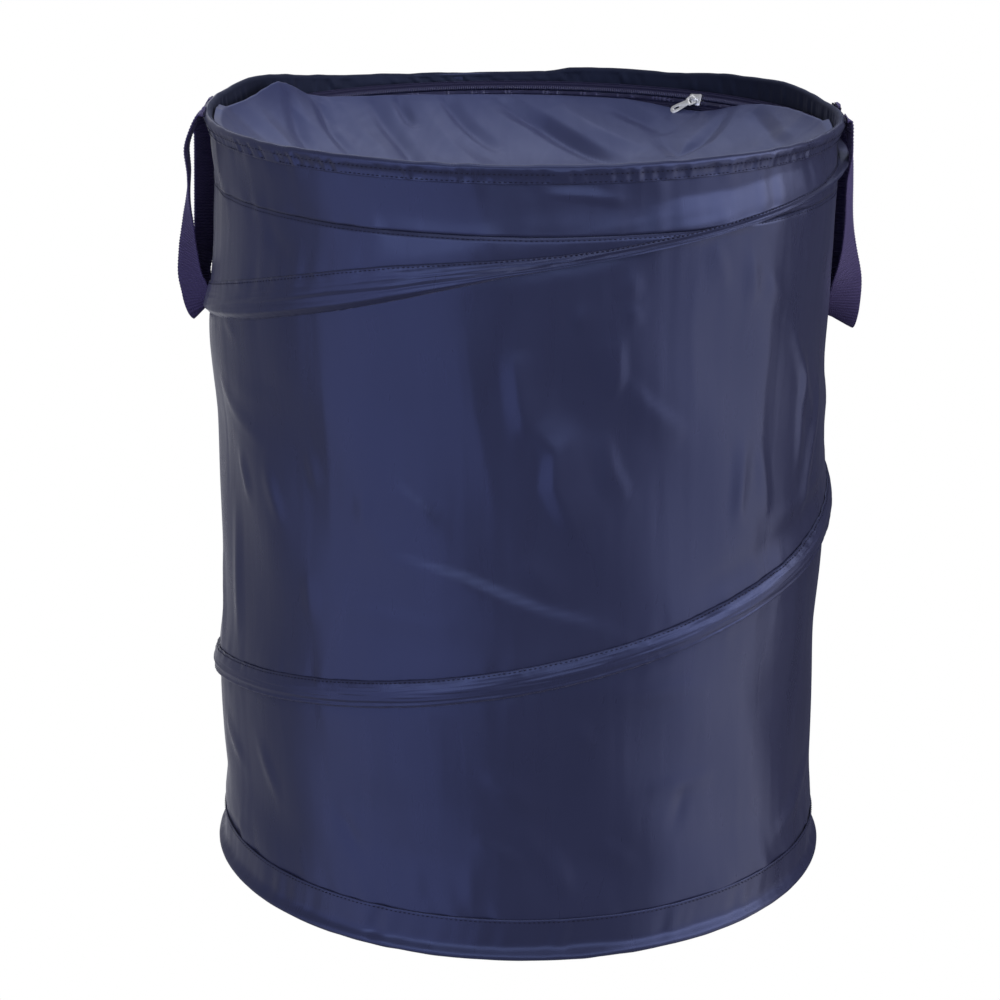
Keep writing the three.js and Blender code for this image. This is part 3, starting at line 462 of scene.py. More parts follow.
def noise_around(u, v, cells, seed):
    """Smooth noise from -1 to 1 that closes after one turn of u; v runs from 0 to 1."""
    across, along = cells
    lattice = np.random.default_rng(seed).uniform(-1, 1, (across, along + 3))
    x, y = np.mod(u, 1) * across, np.clip(v, 0, 1) * along
    i, j = np.floor(x).astype(int), np.floor(y).astype(int)
    fx, fy = x - i, y - j
    fx, fy = fx * fx * (3 - 2 * fx), fy * fy * (3 - 2 * fy)
    near = lattice[i % across, j] * (1 - fx) + lattice[(i + 1) % across, j] * fx
    far = lattice[i % across, j + 1] * (1 - fx) + lattice[(i + 1) % across, j + 1] * fx
    return near * (1 - fy) + far * fy


def fold_relief(x, y, folds, crest):
    """Height of a set of folds at points x, y; crest rounds their ridges."""
    total = np.zeros_like(x)
    for line, left, right, depth in folds:
        line = np.array(line)
        reach = 1.3 * max(left, right)
        low, high = line.min(axis=0) - reach, line.max(axis=0) + reach
        near = (x > low[0]) & (x < high[0]) & (y > low[1]) & (y < high[1])
        if near.any():
            along, across = line_distance(x[near], y[near], line)
            flank = np.where(across > 0, right, left)
            taper = np.sin(math.pi * np.clip(along, 0.02, 0.98)) ** 0.6
            away = (np.hypot(across, crest) - crest) / flank
            total[near] += depth * taper * np.clip(1 - away, 0, 1) ** 1.25
    return total


def line_distance(x, y, line):
    """Share along a line of straight steps, and the distance to its side, at points x, y."""
    best, along, across = np.full(x.shape, 9.0), np.zeros_like(x), np.zeros_like(x)
    steps = np.diff(line, axis=0)
    lengths = np.hypot(steps[:, 0], steps[:, 1])
    done = 0.0
    for (x0, y0), (dx, dy), length in zip(line, steps, lengths):
        share = np.clip(((x - x0) * dx + (y - y0) * dy) / length**2, 0, 1)
        away_x, away_y = x - x0 - share * dx, y - y0 - share * dy
        away = np.hypot(away_x, away_y)
        closer = away < best
        best = np.where(closer, away, best)
        across = np.where(closer, np.sign(dx * away_y - dy * away_x) * away, across)
        along = np.where(closer, done + share * length, along)
        done += length
    return along / done, across


def fold_rows(table, step, scale):
    """Lines, flank widths and heights of a table's folds, each times its scale."""
    return [(np.reshape(row[3:], (-1, 2)) * step, *np.multiply(row[:3], scale)) for row in table]


def wall_fold_table():
    """Folds of the wall in metres round the wall and metres up, with seeded ones for the rear."""
    degree, mm = TAU * WALL_RADIUS / 360, 0.001
    rows = fold_rows(WALL_FOLDS, (degree, mm), (mm, mm, mm))
    rng = np.random.default_rng(7)
    for _ in range(REAR_FOLDS):
        azimuth, z = rng.uniform(-8, 172), rng.uniform(0.07, 0.47)
        lean, drop = rng.uniform(-9, 12), rng.uniform(0.03, 0.09)
        middle = (azimuth + lean * rng.uniform(0.1, 0.7), z - drop * rng.uniform(0.35, 0.65))
        line = [(a * degree, b) for a, b in ((azimuth, z), middle, (azimuth + lean, z - drop))]
        depth = rng.choice([-0.7, 1]) * rng.uniform(0.8, 1.6) * mm
        rows.append((line, rng.uniform(9, 20) * mm, rng.uniform(9, 20) * mm, REAR_FOLD_SHARE * depth))
    return rows


WALL_FOLD_TABLE = wall_fold_table()


def wire_distance(turns, z):
    """Height above the nearest pass of the spiral wire."""
    best = np.full(np.shape(turns), 9.0)
    for lap in range(-1, 4):
        away = z - wire_height(turns + lap)
        best = np.where(np.abs(away) < np.abs(best), away, best)
    return best


def wall_surface(turns, z):
    """Radius of the wall's outer face at azimuths in turns and heights in metres."""
    turn = wire_turn(z)
    between = np.abs(np.sin(np.pi * (turn - turns))) ** 1.4
    wave = np.cos(TAU * (FOLD_COUNT * turns + FOLD_LEAN * turn))
    free = smoothstep(z, BASE_SEAM, BASE_SEAM + HELD_EDGE) * smoothstep(RIM_FOOT - z, 0, HELD_EDGE)
    radius = WALL_RADIUS - between * (DRAW_IN + FOLD_DEPTH * wave) * free
    pull = np.interp(wire_distance(turns, z), *zip(*WIRE_PULL)) * free
    return radius + pull + wall_folds(turns, z) + yoke_slope(turns, z) + wall_swell(turns, z)


def yoke_slope(turns, z):
    """The yoke leans out over the spiral on the right, up to a soft bend."""
    azimuth = np.mod(turns, 1) * 360
    foot = wire_height(1 + np.mod(turns, 1))
    bend = np.interp(azimuth, YOKE_BEND_AZIMUTHS, YOKE_BEND_HEIGHTS)
    share = np.clip((bend - z) / np.maximum(bend - foot, 0.004), 0, 1)
    below = smoothstep(z - foot, -0.004, 0.0)
    return YOKE_REACH * share * plateau(azimuth, *YOKE_BEND_SPAN) * below


def wall_swell(turns, z):
    """The wall stands out at the left under the upper turn, and sinks in over the lower one."""
    azimuth = np.mod(turns, 1) * 360
    left = LEFT_SWELL * bell(azimuth, *LEFT_SWELL_AZIMUTH) * bell(z, *LEFT_SWELL_HEIGHT)
    foot = wire_height(np.mod(turns, 1) + np.where(azimuth < 180, 1, 0))
    hollow = LOWER_HOLLOW * bell(z - foot, *LOWER_HOLLOW_HEIGHT)
    return left - hollow * plateau(azimuth, *LOWER_HOLLOW_SPAN)


def wall_folds(turns, z):
    """Folds, soft billows and seam puckers of the wall, which stop where a seam or wire holds it."""
    u, v = np.mod(turns, 1), z / HEIGHT
    wide = TAU * WALL_RADIUS
    x = u * wide
    folds = sum(fold_relief(start, z, WALL_FOLD_TABLE, FOLD_CREST) for start in (x, x - wide))
    billow = BILLOW * noise_around(u + 0.06 * v, v, (17, 2), 3)
    billow = billow + SMALL_BILLOW * noise_around(u, v, (43, 4), 4)
    front = smoothstep(u, 0.47, 0.5)
    ripple = RIPPLE * front * noise_around(u + 0.01 * v, v, (210, 7), 5)
    away = wire_distance(turns, z)
    held = smoothstep(np.abs(away), *FADE_BY_WIRE) * smoothstep(z, BASE_SEAM, BASE_SEAM + FADE_BY_BASE)
    held = held * smoothstep(RIM_FOOT - z, 0, FADE_BY_RIM)
    held = held * (1 - 0.85 * bell(z, YOKE_SEAM, FADE_BY_YOKE))
    pucker = 0.0
    for seam, seed, reach in SEAM_PUCKERS:
        near = np.exp(-np.abs(z - seam) / reach)
        pucker = pucker + near * SEAM_PUCKER * noise_around(u + 0.25 * (z - seam), v, (128, 1), seed)
    above = np.exp(-np.maximum(away - CASING_WIDTH, 0) / PUCKERS_OVER_CASING)
    near = np.where(away < 0, np.exp(away / PUCKERS_BELOW_WIRE), above)
    by_wire = WIRE_PUCKER * noise_around(u, v, (150, 3), 14) * smoothstep(np.abs(away), 0.001, 0.005)
    pucker = pucker + near * by_wire
    return (folds + billow + ripple) * held + pucker


def rim_lift(turns):
    """How far the rim's top edge stands above or below the flat ring, in metres."""
    return np.interp(np.mod(turns, 1) * 360, *zip(*RIM_WAVE)) * 0.001


# Mesh helpers


def finish_mesh(bm, name, flip=False):
    if flip:
        bmesh.ops.reverse_faces(bm, faces=bm.faces)
    for face in bm.faces:
        face.smooth = True
    mesh = bpy.data.meshes.new(name)
    bm.to_mesh(mesh)
    bm.free()
    piece = bpy.data.objects.new(name, mesh)
    bpy.context.scene.collection.objects.link(piece)
    return piece


def move_points(bm, place):
    """Moves every vertex of a bmesh by a function of numpy arrays x, y, z."""
    points = np.array([v.co for v in bm.verts], float)
    moved = np.stack(place(points[:, 0], points[:, 1], points[:, 2]), axis=1)
    for vertex, co in zip(bm.verts, moved):
        vertex.co = co


def cloth_grid(name, columns, rows, size, place, flip=False, spread=None):
    """A grid of cloth, size metres wide and long, whose shares u and v a function bends into place.
    spread moves the grid's lines closer together where the cloth has more detail."""
    bm = bmesh.new()
    bmesh.ops.create_grid(bm, x_segments=columns, y_segments=rows, size=0.5)
    if spread:
        move_points(bm, lambda x, y, z: (*spread(x + 0.5, y + 0.5), z))
    else:
        bmesh.ops.translate(bm, verts=bm.verts, vec=(0.5, 0.5, 0))
    layer = bm.loops.layers.uv.new("cloth")
    for face in bm.faces:
        for loop in face.loops:
            loop[layer].uv = (loop.vert.co.x * size[0], loop.vert.co.y * size[1])
    move_points(bm, lambda x, y, _: place(x, y))
    bmesh.ops.remove_doubles(bm, verts=bm.verts, dist=1e-6)
    bmesh.ops.dissolve_degenerate(bm, edges=bm.edges, dist=1e-7)
    return finish_mesh(bm, name, flip)


def thicken(piece, thickness):
    solid = piece.modifiers.new("Cloth thickness", "SOLIDIFY")
    solid.thickness = thickness
    solid.offset = -1.0
    solid.use_even_offset = False


def around(radius, turns, z):
    angle = TAU * turns
    return radius * np.cos(angle), radius * np.sin(angle), z + 0 * radius


def disc(u, v):
    """Points of a disc of radius 1 at shares u, v of a square grid."""
    p, q = 2 * u - 1, 2 * v - 1
    return p * np.sqrt(1 - q * q / 2), q * np.sqrt(1 - p * p / 2)


def node_copy(node, flat=False):
    """A bmesh of a CAD node's mesh with its doubles merged, and where flat is set, with the faces of
    each plane joined."""
    bm = bmesh.new()
    bm.from_mesh(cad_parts[node].data)
    bmesh.ops.remove_doubles(bm, verts=bm.verts, dist=1e-7)
    if flat:
        bmesh.ops.dissolve_limit(bm, angle_limit=math.radians(1), verts=bm.verts, edges=bm.edges)
    return bm


def dress(piece, material):
    piece.data.materials.clear()
    piece.data.materials.append(material)
    return piece


def collapse_with_wall(piece):
    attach(piece, "base")
    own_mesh(piece)


def repeat_round(bm, step, count, lift=0.0):
    """Repeats what the bmesh holds round Z, in blocks of blocks: count copies in all, each turned by
    step and lifted by lift from the one before."""
    block = max(1, int(math.sqrt(count)))
    for size, copies in ((1, block), (block, math.ceil(count / block))):
        if copies < 2:
            continue
        bmesh.ops.spin(
            bm, geom=bm.verts[:] + bm.edges[:] + bm.faces[:], cent=(0, 0, 0), axis=(0, 0, 1),
            dvec=(0, 0, size * lift), angle=size * step * (copies - 1), steps=copies - 1,
            use_duplicate=True,
        )


def bead_ring(segments, rings, size, start, step, count, lift=0.0):
    """Beads of a size on a circle of one metre: the first at the angle start, each one turned by step
    and lifted by lift from the one before."""
    bm = bmesh.new()
    bmesh.ops.create_uvsphere(bm, u_segments=segments, v_segments=rings, radius=0.5)
    bmesh.ops.transform(bm, matrix=Matrix.Diagonal((*size, 1)), verts=bm.verts)
    bmesh.ops.translate(bm, verts=bm.verts, vec=(1, 0, 0))
    bmesh.ops.rotate(bm, verts=bm.verts, cent=(0, 0, 0), matrix=Matrix.Rotation(start, 3, "Z"))
    repeat_round(bm, step, count, lift)
    return bm


def stitch_row(name, start, end, height, surface, length):
    """A row of stitches round the hamper, from one turn to another. height(turns) and
    surface(turns, z) say where it runs."""
    count = max(2, int(abs(end - start) * TAU * WALL_RADIUS / length))
    size = (STITCH_THICKNESS, length * STITCH_SHARE, STITCH_WIDTH)
    bm = bead_ring(6, 4, size, TAU * start, TAU * (end - start) / count, count, lift=1.0)

    def place(x, y, z):
        stitch = np.round(z)
        local_z = z - stitch
        base = start + stitch * (end - start) / count
        own = np.arctan2(y, x) / TAU
        lap = base + (np.mod(own - base + 0.5, 1) - 0.5)
        # stitch pieces were made one metre out, so their own size along is undone here
        along = (lap - base) * TAU
        turns = base + along / (TAU * WALL_RADIUS)
        up = height(turns) + local_z
        radius = surface(turns, up) + STITCH_PROUD + (np.hypot(x, y) - 1)
        return around(radius, turns, up)

    move_points(bm, place)
    return finish_mesh(bm, name)


# Materials


class Nodes:
    """Short ways to add and link nodes in a tree. Most give back the node's first output."""

    def __init__(self, tree):
        self.tree = tree

    def fill(self, node, inputs):
        """Links sockets and sets values at a node's inputs."""
        for key, value in inputs.items():
            if isinstance(value, bpy.types.NodeSocket):
                self.tree.links.new(value, node.inputs[key])
            else:
                node.inputs[key].default_value = value
        return node

    def add(self, kind, inputs=None, **settings):
        node = self.tree.nodes.new(kind)
        for key, value in settings.items():
            setattr(node, key, value)
        return self.fill(node, inputs or {})

    def place(self):
        return self.add("ShaderNodeTexCoord").outputs["Object"]

    def math(self, operation, *values):
        return self.add("ShaderNodeMath", dict(enumerate(values)), operation=operation).outputs[0]

    def mix(self, factor, low, high):
        return self.add("ShaderNodeMix", {"Factor": factor, 6: low, 7: high}, data_type="RGBA").outputs[2]

    def tones(self, factor, colour, dark, light):
        """A mix of two tones of one colour."""
        return self.mix(factor, *[(*[c * share for c in colour], 1) for share in (dark, light)])

    def noise(self, vector, scale, detail=2.0, roughness=0.5, distortion=0.0):
        inputs = {"Vector": vector, "Scale": scale, "Detail": detail, "Roughness": roughness}
        return self.add("ShaderNodeTexNoise", {**inputs, "Distortion": distortion}).outputs[0]

    def stretch(self, vector, scale):
        return self.add("ShaderNodeMapping", {"Vector": vector, "Scale": scale}).outputs[0]

    def remap(self, value, low, high, start=0.0, end=1.0):
        inputs = {"Value": value, "From Min": start, "From Max": end, "To Min": low, "To Max": high}
        return self.add("ShaderNodeMapRange", inputs).outputs[0]

    def bump(self, height, distance, strength=1.0):
        inputs = {"Strength": strength, "Distance": distance, "Height": height}
        return self.add("ShaderNodeBump", inputs).outputs[0]

    def shared(self, name, vector, value):
        """Outputs of a node group that several materials use, which is built once."""
        group = bpy.data.node_groups.get(name) or GROUPS[name]()
        return self.add("ShaderNodeGroup", {0: vector, 1: value}, node_tree=group).outputs


def new_group(name, value, outputs):
    """A node group with a vector and a value coming in."""
    group = bpy.data.node_groups.new(name, "ShaderNodeTree")
    group.interface.new_socket(name="Vector", in_out="INPUT", socket_type="NodeSocketVector")
    group.interface.new_socket(name=value, in_out="INPUT", socket_type="NodeSocketFloat")
    for label in outputs:
        group.interface.new_socket(name=label, in_out="OUTPUT", socket_type="NodeSocketFloat")
    n = Nodes(group)
    return group, n, n.add("NodeGroupInput").outputs, n.add("NodeGroupOutput")


def woven_threads():
    """Plain weave: height of the crossing threads, from coordinates in metres."""
    group, n, given, out = new_group("Woven threads", "Threads per metre", ("Height",))
    scaled = n.add("ShaderNodeVectorMath", {0: given[0], "Scale": given[1]}, operation="SCALE")
    parts = n.add("ShaderNodeSeparateXYZ", {0: scaled.outputs[0]}).outputs
    sines = [n.math("SINE", n.math("MULTIPLY", parts[k], math.pi)) for k in range(2)]
    n.fill(out, {0: n.math("MULTIPLY_ADD", n.math("MULTIPLY", *sines), 0.5, 0.5)})
    return group


def handled_crumple():
    """Fine crumple of handled cloth: ridged noise in two sizes, with a soft mask for roughness."""
    group, n, given, out = new_group("Handled crumple", "Scale", ("Height", "Mask"))
    large = n.noise(given[0], given[1], 3.0, 0.55, 0.6)
    fine = n.noise(given[0], n.math("MULTIPLY", given[1], 5.0))
    folded = n.math("ABSOLUTE", n.math("SUBTRACT", large, 0.5))
    ridge = n.math("MULTIPLY_ADD", folded, -1.6, 1.0)
    n.fill(out, {0: n.math("MULTIPLY_ADD", fine, 0.15, ridge), 1: large})
    return group


GROUPS = {"Woven threads": woven_threads, "Handled crumple": handled_crumple}


def made_once(build):
    """Turns a function that fills a material's nodes into one that gives the material of a name."""

    def find(name, *values, **settings):
        material = bpy.data.materials.get(name)
        if material is None:
            material = bpy.data.materials.new(name)
            material.use_nodes = True
            nodes = Nodes(material.node_tree)
            build(nodes, material.node_tree.nodes["Principled BSDF"], *values, **settings)
        return material

    return find


@made_once
def taffeta(n, skin, colour, roughness=(0.26, 0.34), painted_shade_from=None):
    """Woven polyester with a soft sheen, tone that drifts, a fine crumple and upright streaks. From the
    given start of the inner side across the strip on, it is the duller inner side, with painted shade
    darkening its colour."""
    uv = n.add("ShaderNodeUVMap", uv_map="cloth").outputs[0]
    stretched = n.stretch(uv, (1.0, 0.22, 1.0))
    weave = n.shared("Woven threads", uv, TAFFETA_THREADS)[0]
    crumple, mask = n.shared("Handled crumple", stretched, TAFFETA_CRUMPLE)
    drift = n.remap(n.noise(stretched, 14.0, 4.0), 0.0, 1.0, 0.3, 0.7)
    tone = n.mix(0.4, n.tones(drift, colour, 0.88, 1.12), n.tones(weave, colour, 0.8, 1.15))
    rough = n.remap(mask, *roughness, 0.3, 0.7)
    if painted_shade_from:
        # Painted shade: past this width the strip's colour drops to a share of itself, and the cloth turns
        # duller
        across = n.add("ShaderNodeSeparateXYZ", {0: uv}).outputs[1]
        inner = n.math("GREATER_THAN", across, painted_shade_from)
        tone = n.mix(inner, tone, (*[c * INNER_PAINTED_SHADE for c in colour], 1))
        rough = n.math("MULTIPLY_ADD", inner, 0.4, rough)
    looks = {"Base Color": tone, "Roughness": rough, "Sheen Weight": 0.1, "Sheen Roughness": 0.35}
    looks["Normal"] = n.bump(n.math("MULTIPLY_ADD", weave, 0.16, crumple), 0.0001)
    looks["Sheen Tint"] = (0.62, 0.62, 0.85, 1)
    looks["Specular IOR Level"] = 0.6
    looks["Specular Tint"] = (0.42, 0.52, 1.0, 1)
    n.fill(skin, looks)


@made_once
def plain_weave(n, skin, colour, roughness, threads, bump, sheen=0.3):
    """Coarser woven goods: zip tape, webbing and thread, with ribs from the weave group."""
    weave = n.shared("Woven threads", n.place(), threads)[0]
    drift = n.noise(n.place(), 60.0, 4.0)
    tone = n.mix(0.5, n.tones(drift, colour, 0.7, 1.3), n.tones(weave, colour, 0.6, 1.4))
    looks = {"Base Color": tone, "Roughness": n.remap(drift, roughness - 0.08, roughness + 0.08)}
    looks["Normal"] = n.bump(weave, bump)
    looks["Sheen Weight"] = sheen
    looks["Sheen Roughness"] = 0.4
    looks["Sheen Tint"] = (0.6, 0.52, 1.0, 1)
    looks["Specular IOR Level"] = 0.35
    looks["Specular Tint"] = (0.7, 0.62, 1.0, 1)
    n.fill(skin, looks)


@made_once
def nylon(n, skin, colour):
    """Smooth drawn nylon of the zip's coils."""
    drift = n.noise(n.place(), 300.0)
    n.fill(skin, {"Base Color": n.tones(drift, colour, 0.75, 1.25), "Roughness": n.remap(drift, 0.25, 0.4)})


@made_once
def metal(n, skin, colour, roughness=0.3):
    """Plated or drawn metal with fine scratches and duller patches."""
    marks = n.noise(n.stretch(n.place(), (1.0, 1.0, 0.15)), 500.0, 5.0)
    tone = n.tones(n.noise(n.place(), 120.0), colour, 0.86, 1.0)
    rough = n.remap(marks, roughness - 0.06, roughness + 0.1)
    n.fill(skin, {"Base Color": tone, "Roughness": rough, "Metallic": 1.0})
    n.fill(skin, {"Normal": n.bump(marks, 0.00005, 0.4)})


@made_once
def drifting(n, skin, scale, low, high):
    """A dull surface of the studio, between two tones."""
    n.fill(skin, {"Base Color": n.mix(n.noise(n.place(), scale), low, high), "Roughness": 0.9})


# Operators


class HAMPER_OT_studio(bpy.types.Operator):
    """Pale floor, soft lights and the camera"""

    bl_idname = "hamper.studio"
    bl_label = "Studio"

    def execute(self, context):
        context.scene.view_settings.view_transform = "Standard"
        self.make_camera(context)
        self.make_floor()
        self.make_lights(context)
        self.make_card()
        return {"FINISHED"}

    def make_camera(self, context):
        data = bpy.data.cameras.new("camera")
        data.lens = CAMERA_LENS
        data.sensor_width = 36
        data.shift_x, data.shift_y = CAMERA_SHIFT
        data.clip_start, data.clip_end = 0.05, 60
        camera = bpy.data.objects.new("camera", data)
        tilt = Matrix.Rotation(math.pi / 2 - CAMERA_TILT, 4, "X")
        turn = tilt @ Matrix.Rotation(CAMERA_ROLL, 4, "Z")
        camera.matrix_world = Matrix.Translation(CAMERA_SPOT) @ turn
        context.scene.collection.objects.link(camera)
        context.scene.camera = camera

    def make_floor(self):
        bm = bmesh.new()
        bmesh.ops.create_grid(bm, x_segments=4, y_segments=4, size=14)
        material = drifting("pale floor", 3.0, (0.86, 0.86, 0.88, 1), (0.9, 0.9, 0.9, 1))
        n, nodes = Nodes(material.node_tree), material.node_tree.nodes
        seen = n.add("ShaderNodeLightPath").outputs["Is Camera Ray"]
        bright = n.add("ShaderNodeEmission", {"Color": (1, 1, 1, 1), "Strength": 1.0}).outputs[0]
        shown = n.add("ShaderNodeMixShader", {0: seen, 1: nodes["Principled BSDF"].outputs[0], 2: bright})
        n.fill(nodes["Material Output"], {0: shown.outputs[0]})
        self.set_aside(dress(finish_mesh(bm, "floor"), material), "glossy", "diffuse", "shadow")

    def set_aside(self, thing, *rays):
        """Hides a piece of the studio from some kinds of rays."""
        for kind in rays:
            setattr(thing, f"visible_{kind}", False)

    def make_lights(self, context):
        world = bpy.data.worlds.new("studio air")
        world.use_nodes = True
        n = Nodes(world.node_tree)
        seen = n.add("ShaderNodeLightPath").outputs["Is Camera Ray"]
        n.fill(world.node_tree.nodes["Background"], {0: n.mix(seen, AIR, (1, 1, 1, 1))})
        context.scene.world = world
        for name, azimuth, height, distance, size, radiance, colour in SOFTBOXES:
            data = bpy.data.lights.new(name, "AREA")
            data.shape = "RECTANGLE"
            data.size, data.size_y = size
            data.energy = radiance * math.pi * size[0] * size[1]
            data.color = colour
            angle = math.radians(azimuth)
            light = bpy.data.objects.new(name, data)
            spot = Vector((distance * math.sin(angle), -distance * math.cos(angle), height))
            aim = Vector((0, 0, LIGHT_AIM)) - spot
            turn = aim.to_track_quat("-Z", "Y").to_matrix().to_4x4()
            light.matrix_world = Matrix.Translation(spot) @ turn
            light.visible_camera = False
            context.scene.collection.objects.link(light)

    def make_card(self):
        azimuth, distance, size = DARK_CARD
        bm = bmesh.new()
        bmesh.ops.create_grid(bm, x_segments=1, y_segments=1, size=0.5)
        turn = Matrix.Rotation(math.radians(azimuth), 4, "Z") @ Matrix.Translation((0, -distance, 0))
        upright = Matrix.Rotation(math.pi / 2, 4, "X") @ Matrix.Diagonal((*size, 1, 1))
        bmesh.ops.transform(bm, matrix=turn @ upright, verts=bm.verts)
        felt = drifting("black felt", 40.0, (0.02, 0.02, 0.03, 1), (0.04, 0.04, 0.05, 1))
        self.set_aside(dress(finish_mesh(bm, "dark card"), felt), "camera", "diffuse", "shadow")


class HAMPER_OT_wall(bpy.types.Operator):
    """Side wall and yoke band in taffeta, drawn in between the wires and creased"""

    bl_idname = "hamper.wall"
    bl_label = "Wall and yoke"

    def execute(self, context):
        sizes, colours = settings(context)
        cloth = taffeta("wall taffeta", colours.wall)
        wide = TAU * WALL_RADIUS
        first, last = FRONT_TURNS

        def spread(u, v):
            return np.interp(u, (0, FRONT_SHARE, 1), (0, last - first, 1)), v

        for name, node, low, high, rows in (
            ("wall_cloth", "side_wall", WALL_FOOT, YOKE_SEAM - 0.0003, 114),
            ("yoke_cloth", "yoke_band", YOKE_SEAM, WALL_TOP, 22),
        ):
            tall = high - low

            def place(u, v, low=low, tall=tall):
                z = low + v * tall
                return around(wall_surface(first + u, z), first + u, z)

            piece = cloth_grid(name, 430, rows, (wide, tall), place, spread=spread)
            thicken(piece, sizes.cloth_thickness)
            dress(piece, cloth)
            collapse_with_wall(piece)
            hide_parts(node)
        self.side_binding(colours)
        return {"FINISHED"}

    def side_binding(self, colours):
        low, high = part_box("side_seam_binding")
        tall, middle = high.z - low.z, math.atan2((low.y + high.y) / 2, (low.x + high.x) / 2)

        def place(u, v):
            z = low.z + v * tall
            turns = middle / TAU + (u - 0.5) * BINDING_WIDTH / (TAU * WALL_RADIUS)
            ripple = BINDING_RIPPLE * np.sin(TAU * z / 0.007) * np.abs(2 * u - 1)
            return around(wall_surface(turns, z) - BINDING_INSET + ripple, turns, z)

        piece = cloth_grid("side_binding", 8, 240, (BINDING_WIDTH, tall), place)
        thicken(piece, BINDING_THICKNESS)
        dress(piece, plain_weave("binding weave", colours.tape, 0.7, 1400.0, 0.0002))
        collapse_with_wall(piece)
        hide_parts("side_seam_binding")


def casing_edges(turns):
    """How far the casing hangs below the wire, and its width, in metres."""
    return np.interp(turns, CASING_TURNS, CASING_BELOWS), np.interp(turns, CASING_TURNS, CASING_WIDTHS)


def casing_surface(turns, z):
    """Radius of the spiral casing's outer face: a soft roll over the wire, held at both its edges."""
    wire = wire_height(turns)
    below, width = casing_edges(turns)
    share = np.clip((z - wire + below) / width, 0, 1)
    wall = wall_surface(turns, z) + CASING_OFF_WALL
    swell = CASING_SWELL * noise_around(turns / CASING_LAPS, 0 * turns, (60, 1), 33)
    roll = np.sin(math.pi * share**0.85) ** 0.8
    roll = roll * smoothstep(share, -0.01, 0.06) * smoothstep(1 - share, -0.01, 0.06)
    strip = smoothstep(share, -0.02, 0.2) * (1 - 0.95 * np.clip((share - 0.2) / 0.8, 0, 1))
    strip = strip * smoothstep(1 - share, -0.01, 0.04)
    upper = smoothstep(turns, *CASING_UPPER_FROM)
    roll = (roll + upper * (strip - roll)) * (1 - 0.75 * smoothstep(turns, *CASING_TUCKED_FROM))
    edge = np.exp(-np.minimum(share, 1 - share) * width / 0.0028) * smoothstep(width, 0.006, 0.02)
    pucker = CASING_PUCKER * noise_around(turns / CASING_LAPS + 0.3 * z, 0 * turns + 0.5, (760, 2), 32)
    slack = CASING_SLACK * noise_around(turns / CASING_LAPS + 0.5 * share, share, (120, 2), 31)
    slack = slack * np.sin(math.pi * share)
    crest = CASING_CREST + swell + CASING_FULLER * upper
    cover = 0.95 * np.exp(-(((z - wire) / WIRE_COVER) ** 4))
    return wall + np.maximum(crest - wall, 0) * np.maximum(roll, cover) + edge * pucker + slack


class HAMPER_OT_spiral(bpy.types.Operator):
    """Spiral casing sewn over the spring wire, and the wire itself"""

    bl_idname = "hamper.spiral"
    bl_label = "Spiral casing"

    def execute(self, context):
        sizes, colours = settings(context)
        first = wire_turn(BASE_SEAM + 0.004)
        last = wire_turn(RIM_FOOT - 0.004)
        long = (last - first) * TAU * WALL_RADIUS

        def place(u, v):
            turns = first + u * (last - first)
            wire = wire_height(turns)
            below, width = casing_edges(turns)
            z = np.minimum(wire - below + v * width, RIM_FOOT - 0.0006)
            return around(casing_surface(turns, z), turns, z)

        piece = cloth_grid("spiral_casing_cloth", 1700, 24, (long, CASING_WIDTH), place)
        thicken(piece, sizes.cloth_thickness)
        dress(piece, taffeta("casing taffeta", colours.casing))
        collapse_with_wall(piece)
        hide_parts("spiral_casing")
        self.spring(first, last)
        return {"FINISHED"}

    def spring(self, first, last):
        def place(u, v):
            turns = first + u * (last - first)
            wire = wire_height(turns)
            radius = RING_RADIUS + WIRE_RADIUS * np.cos(TAU * v)
            return around(radius, turns, wire + WIRE_RADIUS * np.sin(TAU * v))

        size = ((last - first) * TAU * RING_RADIUS, TAU * WIRE_RADIUS)
        piece = cloth_grid("spiral_spring", 700, 10, size, place)
        dress(piece, metal("spring steel", STEEL))
        collapse_with_wall(piece)
        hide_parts("spiral_wire")


def hem_place(ring_height, foot_out, foot_in, up, ribs, depth, seed, wave=None, flare=0.0):
    """Bends a strip round a ring wire: up its outer leg, over the wire and down its inner leg."""
    outer_leg = WALL_RADIUS + HEM_OFF_WALL
    tube = HEM_TURN
    long_out, long_in = abs(ring_height - foot_out), abs(ring_height - foot_in)
    arc = math.pi * tube
    whole = long_out + arc + long_in

    def place(u, v):
        path = v * whole
        out = np.clip(path, 0, long_out)
        turn = np.clip((path - long_out) / arc, 0, 1) * math.pi
        back = np.clip(path - long_out - arc, 0, long_in)
        near_wire = bell(np.maximum(long_out - path, 0), 0, HEM_NECK)
        leg = outer_leg + (RING_RADIUS + tube + flare - outer_leg) * near_wire
        near_wire = bell(back, 0, HEM_NECK)
        leg_in = HEM_INNER_LEG + (RING_RADIUS - tube - HEM_INNER_LEG) * near_wire
        bend = np.where(turn < math.pi / 2, tube + flare, tube) * np.cos(turn)
        radius = np.where(path <= long_out, leg, np.where(back > 0, leg_in, RING_RADIUS + bend))
        over = ring_height + up * (tube * np.sin(turn) - back)
        lift = np.where(path <= long_out, foot_out + up * out, over)
        free = np.sin(np.pi * np.clip(out / long_out, 0, 1)) ** 0.6 * (path <= long_out)
        free_in = np.sin(np.pi * np.clip(back / long_in, 0, 1)) ** 0.7
        slant = u + HEM_ROPE_LEAN * path
        rope = noise_around(slant, 0 * u + 0.4, (ribs, 1), seed)
        rope = rope + 0.5 * noise_around(slant, 0 * u, (ribs // 4, 1), seed + 1)
        radius = radius + depth * rope * (free - HEM_INNER_SHARE * free_in)
        lift = lift + up * 0.0004 * noise_around(u, 0 * u, (120, 1), seed + 2) * np.sin(turn)
        if wave:
            lift = lift + wave(u) * np.clip((lift - foot_out) / (ring_height - foot_out), 0, 1)
        return around(radius, u, lift)

    return place, whole


